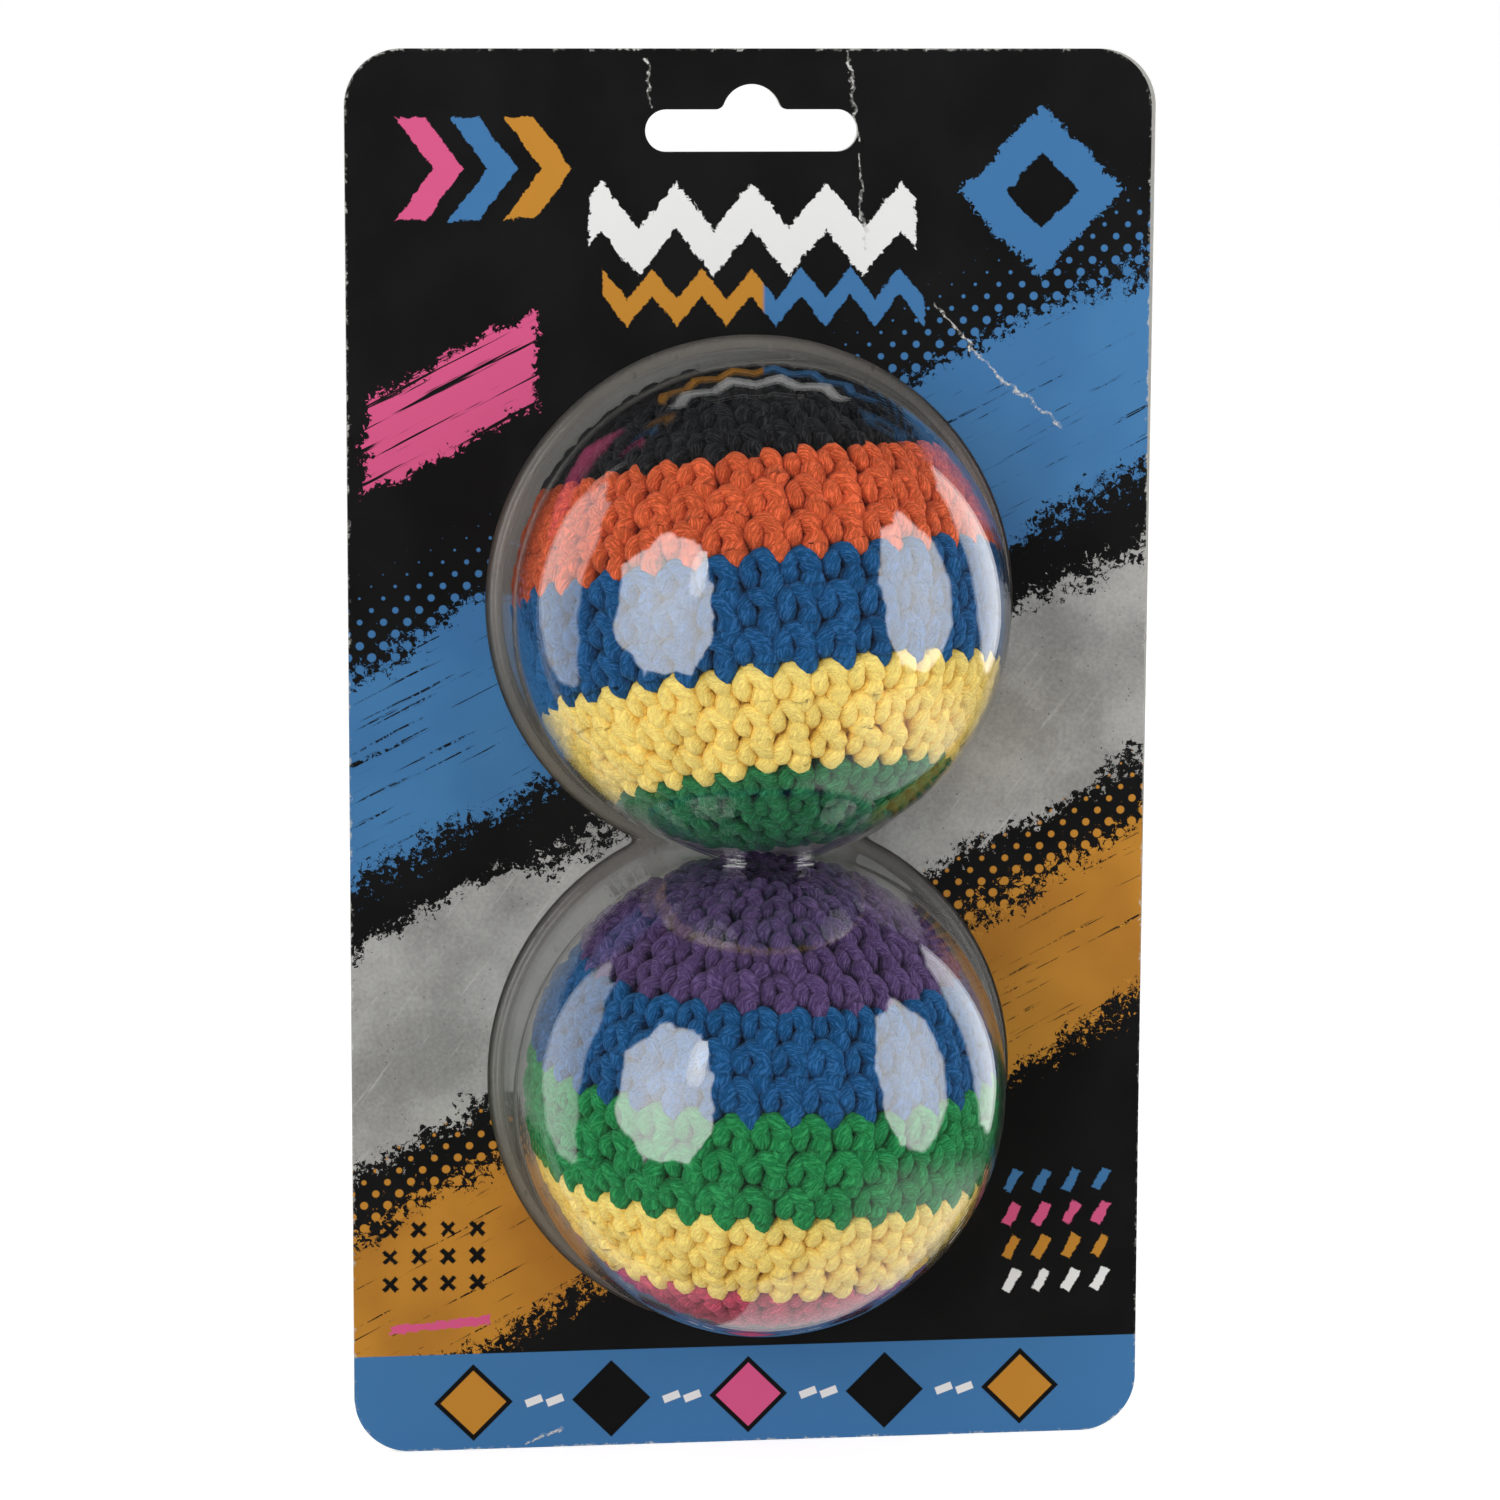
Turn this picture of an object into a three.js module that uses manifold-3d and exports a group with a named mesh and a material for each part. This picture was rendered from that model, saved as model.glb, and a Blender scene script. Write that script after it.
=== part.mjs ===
// Two crocheted footbags on a hanging blister card.
// Millimetres, +Z up, the card's printed front faces -Y, +X is to the right of a person facing it.
// The origin is the bearing point of the hang slot: the top of its centre notch, halfway through the card.

import * as THREE from 'three';
import { mergeVertices } from 'three/addons/utils/BufferGeometryUtils.js';
import Module from 'manifold-3d';

const wasm = await Module();
wasm.setup();

// Card: two boards bonded face to face with the blister's flange between them.
// The header is above the domes and the footer below them.
const cardWidth = 120;
const headerHeight = 42.35;
const footerHeight = 18.15;
const cardCornerRadius = 8.5;
const boardThickness = 0.5;
const backBoardOverhang = 0.8;

// Hang slot: two round-ended arms with a notch in the middle for the peg
const slotWidth = 31.6;
const slotArmHeight = 6.2;
const slotNotchRadius = 4.4;
const slotNotchRise = 3.7;
const slotShoulderRadius = 1.3;
const slotTopMargin = 5.2;

// Blister: two domes drawn from one clear sheet, standing on a flat flange.
// A dome is a round cap on a wall that flares by the draft, and a small step at the foot.
const sheetThickness = 0.35;
const domeRadius = 36.6;
const domeWallHeight = 13.3;
const domeWallDraft = 1.4;
const domeStepWidth = 1.35;
const domeStepHeight = 1.2;
const domeStepRise = 0.5;
const domeMerge = 1.4;
const flangeWidth = 8;
const flangeNeckRadius = 6;
const windowNeckRadius = 0.8;
const windowClearance = 0.3;
const sheetClearance = 0.05;

// Footbags: soft balls pressed flat at the back by the card. The slack is what a bag is smaller
// than its dome by, past the clearance, and it settles by shares of that.
const bagSideClearance = 0.45;
const bagSlacks = { upper: 0, lower: 1 };
const bagSettleShares = { right: 0.7, down: 0.7 };
const bagFrontClearance = 0.5;
const bagSeatGap = 0.3;
const bagWidestDrop = 0.5;
const bagFlatShare = 0.615;

// Crochet, liner and fill
const crochetThickness = 4;
const bandGap = 0.3;
const linerGap = 0.3;
const linerThickness = 0.5;
const linerNeckRoom = 4;
const linerNeckRadius = 4;
const linerNeckLength = 2.6;
const tieThreadRadius = 0.6;
const tieHeight = 1.4;
const fillGap = 0.3;

// Overrun of cutting solids past the faces that they cut
const overrun = 2;

// Facet counts
const cornerTurns = 40;
const domeTurns = 44;
const domeSteps = 10;
const coverCounts = { turns: 36, front: 9, back: 5 };
const liningCounts = { turns: 24, front: 6, back: 3 };
const neckTurns = 16;
const threadTurns = 20;
const threadSides = 6;

// Stripe design: rounds of crochet in each yarn from the crown down, the angle by which the crown
// tips back from the viewer, and the angle by which it rolls towards the right
const roundCounts = [6, 3, 3, 3, 5];
const bagDesigns = {
  upper: {
    tipAngle: 12,
    rollAngle: -5.5,
    yarns: [
      ['black_crown', 0x1e2024],
      ['orange_band', 0xc8552d],
      ['blue_band', 0x1a5a90],
      ['yellow_band', 0xebc86e],
      ['green_base', 0x1e6e41],
    ],
  },
  lower: {
    tipAngle: -3,
    rollAngle: 2,
    yarns: [
      ['purple_crown', 0x503764],
      ['blue_band', 0x1a5a90],
      ['green_band', 0x1e9150],
      ['yellow_band', 0xebc86e],
      ['pink_base', 0xbe3c5f],
    ],
  },
};

// Places worked out from the driving dimensions
const sealThickness = sheetThickness + 2 * sheetClearance;
const stackThickness = 2 * boardThickness + sealThickness;
const frontFaceY = -stackThickness / 2;
const sealFrontY = frontFaceY + boardThickness;
const backBoardY = sealFrontY + sealThickness;
const domeFootRadius = domeRadius + domeWallDraft;
const domeBaseRadius = domeFootRadius + domeStepWidth;
const domeSpacing = 2 * domeRadius - domeMerge;
const cardTopZ = slotTopMargin;
const cardHeight = headerHeight + 2 * domeBaseRadius + domeSpacing + footerHeight;
const upperDomeZ = cardTopZ - headerHeight - domeBaseRadius;
const neckZ = upperDomeZ - domeSpacing / 2;
const bagWidestHeight = domeWallHeight - bagWidestDrop;
const bagRadii = {
  upper: domeRadius - sheetThickness - bagSideClearance - bagSlacks.upper,
  lower: domeRadius - sheetThickness - bagSideClearance - bagSlacks.lower,
};

const degrees = THREE.MathUtils.degToRad;

// Turns a closed geometry into a solid that can be joined and cut
function toSolid(geometry) {
  const bare = geometry.clone();
  bare.deleteAttribute('normal');
  bare.deleteAttribute('uv');
  const merged = mergeVertices(bare);
  const mesh = new wasm.Mesh({
    numProp: 3,
    vertProperties: new Float32Array(merged.attributes.position.array),
    triVerts: new Uint32Array(merged.index.array),
  });
  return new wasm.Manifold(mesh);
}

function toGeometry(solid) {
  const mesh = solid.getMesh();
  const geometry = new THREE.BufferGeometry();
  geometry.setAttribute('position', new THREE.BufferAttribute(new Float32Array(mesh.vertProperties), 3));
  geometry.setIndex(new THREE.BufferAttribute(new Uint32Array(mesh.triVerts), 1));
  geometry.computeVertexNormals();
  return geometry;
}

function makeMesh(name, geometry, colour, roughness, metalness = 0) {
  const material = new THREE.MeshStandardMaterial({ color: colour, roughness, metalness });
  const mesh = new THREE.Mesh(geometry, material);
  mesh.name = name;
  return mesh;
}

// Points round part of a circle, without the last one, at a given number of steps to the full turn
function arc(centreX, centreZ, radius, from, to, stepsPerTurn) {
  const steps = Math.max(1, Math.round((stepsPerTurn * Math.abs(to - from)) / (2 * Math.PI)));
  const points = [];
  for (let step = 0; step < steps; step += 1) {
    const angle = from + ((to - from) * step) / steps;
    points.push(new THREE.Vector2(centreX + radius * Math.cos(angle), centreZ + radius * Math.sin(angle)));
  }
  return points;
}

// The last point of an arc, where the next one doesn't start there
function arcEnd(centreX, centreZ, radius, angle) {
  return new THREE.Vector2(centreX + radius * Math.cos(angle), centreZ + radius * Math.sin(angle));
}

// A flat plate: outlines are drawn in x and z, and the plate stands from nearY back to farY
function plate(outline, holes, nearY, farY) {
  const shape = new THREE.Shape(outline);
  shape.holes = holes.map((hole) => new THREE.Path(hole));
  const geometry = new THREE.ExtrudeGeometry(shape, { depth: farY - nearY, bevelEnabled: false });
  const standing = new THREE.Matrix4().makeBasis(
    new THREE.Vector3(1, 0, 0),
    new THREE.Vector3(0, 0, 1),
    new THREE.Vector3(0, -1, 0),
  );
  geometry.applyMatrix4(standing);
  geometry.translate(0, farY, 0);
  return geometry;
}

// The card's rounded outline between two side edges
function cardOutline(leftX, rightX) {
  const radius = cardCornerRadius;
  const corners = [
    [rightX - radius, cardTopZ - radius],
    [leftX + radius, cardTopZ - radius],
    [leftX + radius, cardTopZ - cardHeight + radius],
    [rightX - radius, cardTopZ - cardHeight + radius],
  ];
  return corners.flatMap(([x, z], index) => {
    const from = (index * Math.PI) / 2;
    const to = from + Math.PI / 2;
    return [...arc(x, z, radius, from, to, cornerTurns), arcEnd(x, z, radius, to)];
  });
}

// Arms with round ends, and a round notch that runs into them through hollow shoulders
function slotOutline() {
  const armRadius = slotArmHeight / 2;
  const armTopZ = -slotNotchRise;
  const armCentreZ = armTopZ - armRadius;
  const armX = slotWidth / 2 - armRadius;
  const notchCentreZ = -slotNotchRadius;
  const shoulderZ = armTopZ + slotShoulderRadius;
  const reach = slotNotchRadius + slotShoulderRadius;
  const shoulderX = Math.sqrt(reach ** 2 - (shoulderZ - notchCentreZ) ** 2);
  const meet = Math.atan2(shoulderZ - notchCentreZ, shoulderX);
  return [
    ...arc(armX, armCentreZ, armRadius, -Math.PI / 2, Math.PI / 2, cornerTurns),
    arcEnd(armX, armCentreZ, armRadius, Math.PI / 2),
    ...arc(shoulderX, shoulderZ, slotShoulderRadius, -Math.PI / 2, meet - Math.PI, cornerTurns),
    ...arc(0, notchCentreZ, slotNotchRadius, meet, Math.PI - meet, cornerTurns),
    ...arc(-shoulderX, shoulderZ, slotShoulderRadius, -meet, -Math.PI / 2, cornerTurns),
    arcEnd(-shoulderX, shoulderZ, slotShoulderRadius, -Math.PI / 2),
    ...arc(-armX, armCentreZ, armRadius, Math.PI / 2, 1.5 * Math.PI, cornerTurns),
    arcEnd(-armX, armCentreZ, armRadius, 1.5 * Math.PI),
  ];
}

// Two circles round the dome centres, joined by small arcs at the neck
function figureEight(radius, neckRadius) {
  const half = domeSpacing / 2;
  const neckX = Math.sqrt((radius + neckRadius) ** 2 - half ** 2);
  const meet = Math.atan2(half, neckX);
  return [
    ...arc(0, neckZ + half, radius, -meet, Math.PI + meet, domeTurns),
    ...arc(-neckX, neckZ, neckRadius, meet, -meet, cornerTurns),
    ...arc(0, neckZ - half, radius, Math.PI - meet, 2 * Math.PI + meet, domeTurns),
    ...arc(neckX, neckZ, neckRadius, Math.PI + meet, Math.PI - meet, cornerTurns),
  ];
}

// Front board with the hang slot and the window that the domes come through
function frontCard() {
  const outline = cardOutline(-cardWidth / 2, cardWidth / 2);
  const holes = [slotOutline(), figureEight(domeBaseRadius + windowClearance, windowNeckRadius)];
  return makeMesh('front_card', plate(outline, holes, frontFaceY, sealFrontY), 0x101010, 0.55);
}

// Seal coat that fills the space round the flange and bonds the two boards
function sealLayer() {
  const outline = cardOutline(-cardWidth / 2, cardWidth / 2);
  const flangeReach = domeBaseRadius + flangeWidth + windowClearance;
  const holes = [slotOutline(), figureEight(flangeReach, flangeNeckRadius - windowClearance)];
  return makeMesh('seal_layer', plate(outline, holes, sealFrontY, backBoardY), 0xd8d6cf, 0.6);
}

// Back board: closes the domes and stands a little proud of the front board on the right
function backCard() {
  const outline = cardOutline(-cardWidth / 2, cardWidth / 2 + backBoardOverhang);
  const geometry = plate(outline, [slotOutline()], backBoardY, backBoardY + boardThickness);
  return makeMesh('back_card', geometry, 0xb9b8b2, 0.7);
}

// Half section of a dome, drawn in by an inset: round top, drafted wall, small step, riser to the flange
function domeProfile(inset, bottomY) {
  const radius = domeRadius - inset;
  const centreY = frontFaceY - domeWallHeight;
  const points = [];
  for (let step = 0; step <= domeSteps; step += 1) {
    const angle = (Math.PI / 2) * (1 - step / domeSteps);
    points.push(new THREE.Vector2(radius * Math.cos(angle), centreY - radius * Math.sin(angle)));
  }
  points[0].x = 0;
  const wallFootY = frontFaceY - domeStepHeight - domeStepRise + inset;
  points.push(new THREE.Vector2(domeFootRadius - inset, wallFootY));
  points.push(new THREE.Vector2(domeBaseRadius - inset, wallFootY + domeStepRise));
  points.push(new THREE.Vector2(domeBaseRadius - inset, bottomY));
  points.push(new THREE.Vector2(0, bottomY));
  return points;
}

function domePair(inset, bottomY) {
  const turned = new THREE.LatheGeometry(domeProfile(inset, bottomY), domeTurns);
  const upper = toSolid(turned.clone().translate(0, 0, upperDomeZ));
  const lower = toSolid(turned.clone().translate(0, 0, upperDomeZ - domeSpacing));
  return upper.add(lower);
}

// Clear shell: both domes and the flange drawn from one sheet, open at the back
function blisterShell() {
  const flangeNearY = sealFrontY + sheetClearance;
  const flangeFarY = flangeNearY + sheetThickness;
  const outline = figureEight(domeBaseRadius + flangeWidth, flangeNeckRadius);
  const flange = toSolid(plate(outline, [], flangeNearY, flangeFarY));
  const outside = domePair(0, flangeFarY).add(flange);
  const shell = outside.subtract(domePair(sheetThickness, flangeFarY + overrun));
  return makeMesh('blister_shell', toGeometry(shell), 0xe8ecee, 0.08);
}

// A bag turned about the card normal, drawn in by an inset: round front, full rim, flat back.
// y is zero at the widest place and grows towards the card.
function bagSolid(bag, inset, counts) {
  const rim = bagRadii[bag] - inset;
  const flatRadius = bagRadii[bag] * bagFlatShare;
  const frontDepth = domeRadius + bagWidestDrop - sheetThickness - bagFrontClearance - inset;
  const backDepth = bagWidestHeight + boardThickness + sealThickness - bagSeatGap - inset;
  const points = [new THREE.Vector2(0, -frontDepth)];
  for (let step = 1; step <= counts.front; step += 1) {
    const angle = (Math.PI / 2) * (1 - step / counts.front);
    points.push(new THREE.Vector2(rim * Math.cos(angle), -frontDepth * Math.sin(angle)));
  }
  for (let step = 1; step <= counts.back; step += 1) {
    const angle = (Math.PI / 2) * (step / counts.back);
    const swell = (rim - flatRadius) * Math.cos(angle);
    points.push(new THREE.Vector2(flatRadius + swell, backDepth * Math.sin(angle)));
  }
  points.push(new THREE.Vector2(0, backDepth));
  return toSolid(new THREE.LatheGeometry(points, counts.turns));
}

// The layer of space between two heights along an axis that is turned from +Z
function layerOfSpace(bag, low, high, turn) {
  const reach = 4 * bagRadii[bag];
  const layer = new THREE.BoxGeometry(reach, reach, high - low);
  layer.translate(0, 0, (low + high) / 2);
  layer.applyMatrix4(turn);
  return toSolid(layer);
}

// Height along the pole where each yarn gives way to the next: the rounds are even steps of latitude
function yarnBorders(bag) {
  const totalRounds = roundCounts.reduce((sum, count) => sum + count);
  let worked = 0;
  return roundCounts.slice(0, -1).map((count) => {
    worked += count;
    return bagRadii[bag] * Math.cos((Math.PI * worked) / totalRounds);
  });
}

// The crocheted cover: one yarn after another from the crown down
function yarnPieces(bag) {
  const { tipAngle, rollAngle, yarns } = bagDesigns[bag];
  const tilt = new THREE.Euler(-degrees(tipAngle), degrees(rollAngle), 0, 'YXZ');
  const turn = new THREE.Matrix4().makeRotationFromEuler(tilt);
  const cover = bagSolid(bag, 0, coverCounts).subtract(bagSolid(bag, crochetThickness, liningCounts));
  const past = bagRadii[bag] + overrun;
  const borders = yarnBorders(bag);
  const tops = [past, ...borders.map((height) => height - bandGap / 2)];
  const bottoms = [...borders.map((height) => height + bandGap / 2), -past];
  return yarns.map(([yarn, colour], index) => {
    const piece = cover.intersect(layerOfSpace(bag, bottoms[index], tops[index], turn));
    return makeMesh(`${bag}_${yarn}`, toGeometry(piece), colour, 0.95);
  });
}

// Height above the bag's middle where the liner is drawn in to its neck
function linerShoulder(bag) {
  return bagRadii[bag] - crochetThickness - linerGap - linerNeckRoom;
}

// What the liner's surface at an inset encloses, cut off level at the top
function linerRoom(bag, inset, top) {
  const upright = new THREE.Matrix4();
  const layer = layerOfSpace(bag, -bagRadii[bag] - overrun, top, upright);
  return bagSolid(bag, inset, liningCounts).intersect(layer);
}

function uprightCylinder(radius, low, high) {
  const geometry = new THREE.CylinderGeometry(radius, radius, high - low, neckTurns);
  geometry.rotateX(Math.PI / 2);
  geometry.translate(0, 0, (low + high) / 2);
  return toSolid(geometry);
}

// Cloth pouch inside the cover, drawn in at the top to a short open neck
function liner(bag) {
  const shoulder = linerShoulder(bag);
  const neckTop = shoulder + linerNeckLength;
  const outerInset = crochetThickness + linerGap;
  const outside = linerRoom(bag, outerInset, shoulder);
  const inside = linerRoom(bag, outerInset + linerThickness, shoulder - linerThickness);
  const neck = uprightCylinder(linerNeckRadius, shoulder - linerThickness, neckTop);
  const bore = uprightCylinder(linerNeckRadius - linerThickness, shoulder - overrun, neckTop + overrun);
  const pouch = outside.add(neck).subtract(inside).subtract(bore);
  return makeMesh(`${bag}_liner`, toGeometry(pouch), 0xe6e2d6, 0.9);
}

// Thread that ties the liner's neck
function linerTie(bag) {
  const ringRadius = linerNeckRadius + linerGap + tieThreadRadius;
  const ring = new THREE.TorusGeometry(ringRadius, tieThreadRadius, threadSides, threadTurns);
  ring.translate(0, 0, linerShoulder(bag) + tieHeight);
  return makeMesh(`${bag}_liner_tie`, toGeometry(toSolid(ring)), 0xf2efe6, 0.85);
}

// Loose pellets, held together as one body by the liner
function pelletFill(bag) {
  const inset = crochetThickness + linerGap + linerThickness + fillGap;
  const fill = linerRoom(bag, inset, linerShoulder(bag) - linerThickness - fillGap);
  return makeMesh(`${bag}_pellet_fill`, toGeometry(fill), 0xd9d4c4, 0.6);
}

// One footbag, seated in its dome with its widest place at the group's origin
function footbag(bag, domeZ) {
  const group = new THREE.Group();
  group.add(...yarnPieces(bag), liner(bag), linerTie(bag), pelletFill(bag));
  const right = bagSlacks[bag] * bagSettleShares.right;
  const down = bagSlacks[bag] * bagSettleShares.down;
  group.position.set(right, frontFaceY - bagWidestHeight, domeZ - down);
  return group;
}

const pack = new THREE.Group();
pack.add(frontCard(), sealLayer(), backCard(), blisterShell());
pack.add(footbag('upper', upperDomeZ));
pack.add(footbag('lower', upperDomeZ - domeSpacing));

export default pack;
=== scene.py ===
import math

import bmesh
import bpy
import numpy as np
from mathutils import Matrix, Vector


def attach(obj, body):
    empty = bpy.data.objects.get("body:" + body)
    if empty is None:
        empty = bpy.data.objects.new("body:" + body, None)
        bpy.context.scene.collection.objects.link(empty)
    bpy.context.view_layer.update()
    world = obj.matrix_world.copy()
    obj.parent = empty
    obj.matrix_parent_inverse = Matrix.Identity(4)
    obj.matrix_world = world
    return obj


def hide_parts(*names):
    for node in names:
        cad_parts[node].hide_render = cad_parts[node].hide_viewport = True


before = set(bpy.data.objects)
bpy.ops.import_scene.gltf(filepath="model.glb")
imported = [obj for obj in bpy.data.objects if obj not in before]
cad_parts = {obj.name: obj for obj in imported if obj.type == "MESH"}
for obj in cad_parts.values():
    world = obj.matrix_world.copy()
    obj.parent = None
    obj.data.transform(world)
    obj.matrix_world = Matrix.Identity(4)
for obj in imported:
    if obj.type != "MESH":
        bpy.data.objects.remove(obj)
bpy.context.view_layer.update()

MM = 0.001
WHITE = (1.0, 1.0, 1.0, 1.0)

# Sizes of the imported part, in millimetres
CARD_WIDTH = 120.0
CARD_TOP = 5.2
CARD_BOTTOM = -205.8
CORNER_RADIUS = 8.5
BOARD = 0.5
OVERHANG = 0.8
FRONT_Y = -0.725
SEAL_Y = FRONT_Y + BOARD
BACK_BOARD_Y = 0.225
UPPER_Z = -76.5
SPACING = 71.8
NECK_Z = UPPER_Z - SPACING / 2
SHEET = 0.35
DOME_RADIUS = 36.6
WALL_HEIGHT = 13.3
FOOT_RADIUS = 38.0
BASE_RADIUS = 39.35
STEP_HEIGHT = 1.2
STEP_RISE = 0.5
FLANGE = 8.0
WINDOW_GAP = 0.3
WINDOW_CORNER = 0.8
BAG_DEPTH = 36.25
BACK_DEPTH = 13.45
FLAT_SHARE = 0.615
BAG_Y = -13.525
BACK_SQUARENESS = 8.0
BACK_SPREAD = 1.3

# Crochet: the rounds of each yarn from the crown to the base, and the stitches of each round
ROUNDS = [6, 3, 3, 3, 5]
ROUND_ANGLE = math.pi / sum(ROUNDS)
COUNTS = [6, 12, 18, 24, 28, 32, 36, 36, 36, 36, 36, 36, 36, 36, 32, 28, 24, 18, 12, 6]

# Depths under a footbag's own surface, in millimetres. No stitch stands out of that surface.
COVER = 2.05
BACKING_OUTSIDE = COVER + 0.35
BACKING_INSIDE = 3.9
LINER_DEPTH = 4.45
FILL_DEPTH = 5.3
SHOULDER_DEPTH = 8.3

BAGS = {
    "upper": dict(
        body="upper_footbag", centre=(0.0, BAG_Y, UPPER_Z), rim=35.8, tip=12.0, roll=-5.5, seed=11,
        yarns=["black_crown", "orange_band", "blue_band", "yellow_band", "green_base"],
        slots=["black_yarn", "orange_yarn", "blue_yarn", "yellow_yarn", "dark_green_yarn"],
    ),
    "lower": dict(
        body="lower_footbag", centre=(0.7, BAG_Y, UPPER_Z - SPACING - 0.7), rim=34.8, tip=-3.0, roll=2.0,
        seed=23,
        yarns=["purple_crown", "blue_band", "green_band", "yellow_band", "pink_base"],
        slots=["purple_yarn", "blue_yarn", "green_yarn", "yellow_yarn", "pink_yarn"],
    ),
}

YARN_COLOURS = {
    "black_yarn": (0.0058, 0.0064, 0.008),
    "orange_yarn": (0.61, 0.100, 0.030),
    "blue_yarn": (0.004, 0.079, 0.225),
    "yellow_yarn": (0.98, 0.75, 0.21),
    "dark_green_yarn": (0.015, 0.17, 0.055),
    "green_yarn": (0.010, 0.225, 0.060),
    "purple_yarn": (0.080, 0.043, 0.135),
    "pink_yarn": (0.57, 0.057, 0.122),
}


class Nodes:
    """Builds one node tree with short calls."""

    def __init__(self, tree):
        self.tree = tree
        self.tree.nodes.clear()

    def add(self, kind, inputs=(), **settings):
        node = self.tree.nodes.new(kind)
        for key, value in settings.items():
            setattr(node, key, value)
        for key, value in dict(inputs).items():
            socket = node.inputs[key]
            if isinstance(value, bpy.types.NodeSocket):
                self.tree.links.new(value, socket)
            else:
                socket.default_value = value
        return node

    def maths(self, operation, *values):
        return self.add("ShaderNodeMath", dict(enumerate(values)), operation=operation).outputs[0]

    def plus(self, first, second):
        return self.maths("ADD", first, second)

    def minus(self, first, second):
        return self.maths("SUBTRACT", first, second)

    def times(self, first, second):
        return self.maths("MULTIPLY", first, second)

    def scaled(self, value, factor, shift):
        return self.maths("MULTIPLY_ADD", value, factor, shift)

    def most(self, first, *others):
        for other in others:
            first = self.maths("MAXIMUM", first, other)
        return first

    def least(self, first, second):
        return self.maths("MINIMUM", first, second)

    def apart(self, first, second):
        return self.maths("ABSOLUTE", self.minus(first, second))

    def length(self, first, second):
        return self.maths("SQRT", self.plus(self.times(first, first), self.times(second, second)))

    def vector(self, operation, *values):
        return self.add("ShaderNodeVectorMath", dict(enumerate(values)), operation=operation).outputs[0]

    def combine(self, x=0.0, y=0.0, z=0.0):
        return self.add("ShaderNodeCombineXYZ", {0: x, 1: y, 2: z}).outputs[0]

    def separate(self, vector):
        return self.add("ShaderNodeSeparateXYZ", {0: vector}).outputs

    def noise(self, vector, scale, detail=2.0, roughness=0.5, distortion=0.0):
        inputs = {"Vector": vector, "Scale": scale, "Detail": detail, "Roughness": roughness}
        inputs["Distortion"] = distortion
        return self.add("ShaderNodeTexNoise", inputs).outputs[0]

    def streaks(self, x, x_scale, y, y_scale, detail, roughness, z=0.0):
        """Noise that is drawn out along one way, from two places with a scale each."""
        vector = self.combine(self.times(x, x_scale), self.times(y, y_scale), z)
        return self.noise(vector, 1.0, detail, roughness)

    def voronoi(self, vector, scale):
        return self.add("ShaderNodeTexVoronoi", {"Vector": vector, "Scale": scale})

    def ease(self, value, low, high, start=0.0, end=1.0):
        inputs = {0: value, 1: low, 2: high, 3: start, 4: end}
        return self.add("ShaderNodeMapRange", inputs, interpolation_type="SMOOTHSTEP").outputs[0]

    def mix(self, factor, first, second, blend="MIX"):
        node = self.add("ShaderNodeMix", data_type="RGBA", blend_type=blend)
        for index, value in ((0, factor), (6, first), (7, second)):
            if isinstance(value, bpy.types.NodeSocket):
                self.tree.links.new(value, node.inputs[index])
            elif index:
                node.inputs[index].default_value = (*value[:3], 1.0)
            else:
                node.inputs[index].default_value = value
        return node.outputs[2]

    def bump(self, height, strength, distance, normal=None):
        inputs = {"Height": height, "Strength": strength, "Distance": distance}
        if normal is not None:
            inputs["Normal"] = normal
        return self.add("ShaderNodeBump", inputs).outputs[0]

    def object_mm(self):
        place = self.add("ShaderNodeTexCoord").outputs["Object"]
        return self.add("ShaderNodeVectorMath", {0: place, 3: 1000.0}, operation="SCALE").outputs[0]

    def surface(self, colour, roughness, normal=None, **sockets):
        inputs = {"Base Color": colour if isinstance(colour, bpy.types.NodeSocket) else (*colour, 1.0)}
        inputs["Roughness"] = roughness
        if normal is not None:
            inputs["Normal"] = normal
        inputs.update({key.replace("_", " "): value for key, value in sockets.items()})
        self.finish(self.add("ShaderNodeBsdfPrincipled", inputs))

    def finish(self, shader):
        self.add("ShaderNodeOutputMaterial", {"Surface": shader.outputs[0]})

    def seen_rays(self):
        """One for the rays of the camera, gloss and clear pieces."""
        path = self.add("ShaderNodeLightPath").outputs
        return self.most(path["Is Camera Ray"], path["Is Glossy Ray"], path["Is Transmission Ray"])


def new_material(name, kind=Nodes):
    material = bpy.data.materials.new(name)
    material.use_nodes = True
    return material, kind(material.node_tree)


def placed(name, data):
    """A new object of the scene."""
    thing = bpy.data.objects.new(name, data)
    bpy.context.scene.collection.objects.link(thing)
    return thing


def mesh_object(name, points, quads, triangles=None, smooth=True):
    """An object from points in millimetres, with arrays of four and three corners a face."""
    mesh = bpy.data.meshes.new(name)
    corners = [np.asarray(quads, np.int32).ravel()]
    sizes = [np.full(len(quads), 4, np.int32)]
    if triangles is not None:
        corners.append(np.asarray(triangles, np.int32).ravel())
        sizes.append(np.full(len(triangles), 3, np.int32))
    corners, sizes = np.concatenate(corners), np.concatenate(sizes)
    starts = np.concatenate(([0], np.cumsum(sizes)[:-1])).astype(np.int32)
    points = np.asarray(points, np.float64) * MM
    mesh.vertices.add(len(points))
    mesh.vertices.foreach_set("co", points.astype(np.float32).ravel())
    mesh.loops.add(len(corners))
    mesh.loops.foreach_set("vertex_index", corners)
    mesh.polygons.add(len(sizes))
    mesh.polygons.foreach_set("loop_start", starts)
    mesh.polygons.foreach_set("loop_total", sizes)
    mesh.polygons.foreach_set("use_smooth", np.full(len(sizes), smooth, bool))
    mesh.update(calc_edges=True)
    mesh.validate()
    return placed(name, mesh)


def dress(thing, body, slot, material, *stands_for):
    thing.data.materials.clear()
    thing.data.materials.append(material)
    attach(thing, body)
    if stands_for:
        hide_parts(*stands_for)
    return thing


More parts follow.
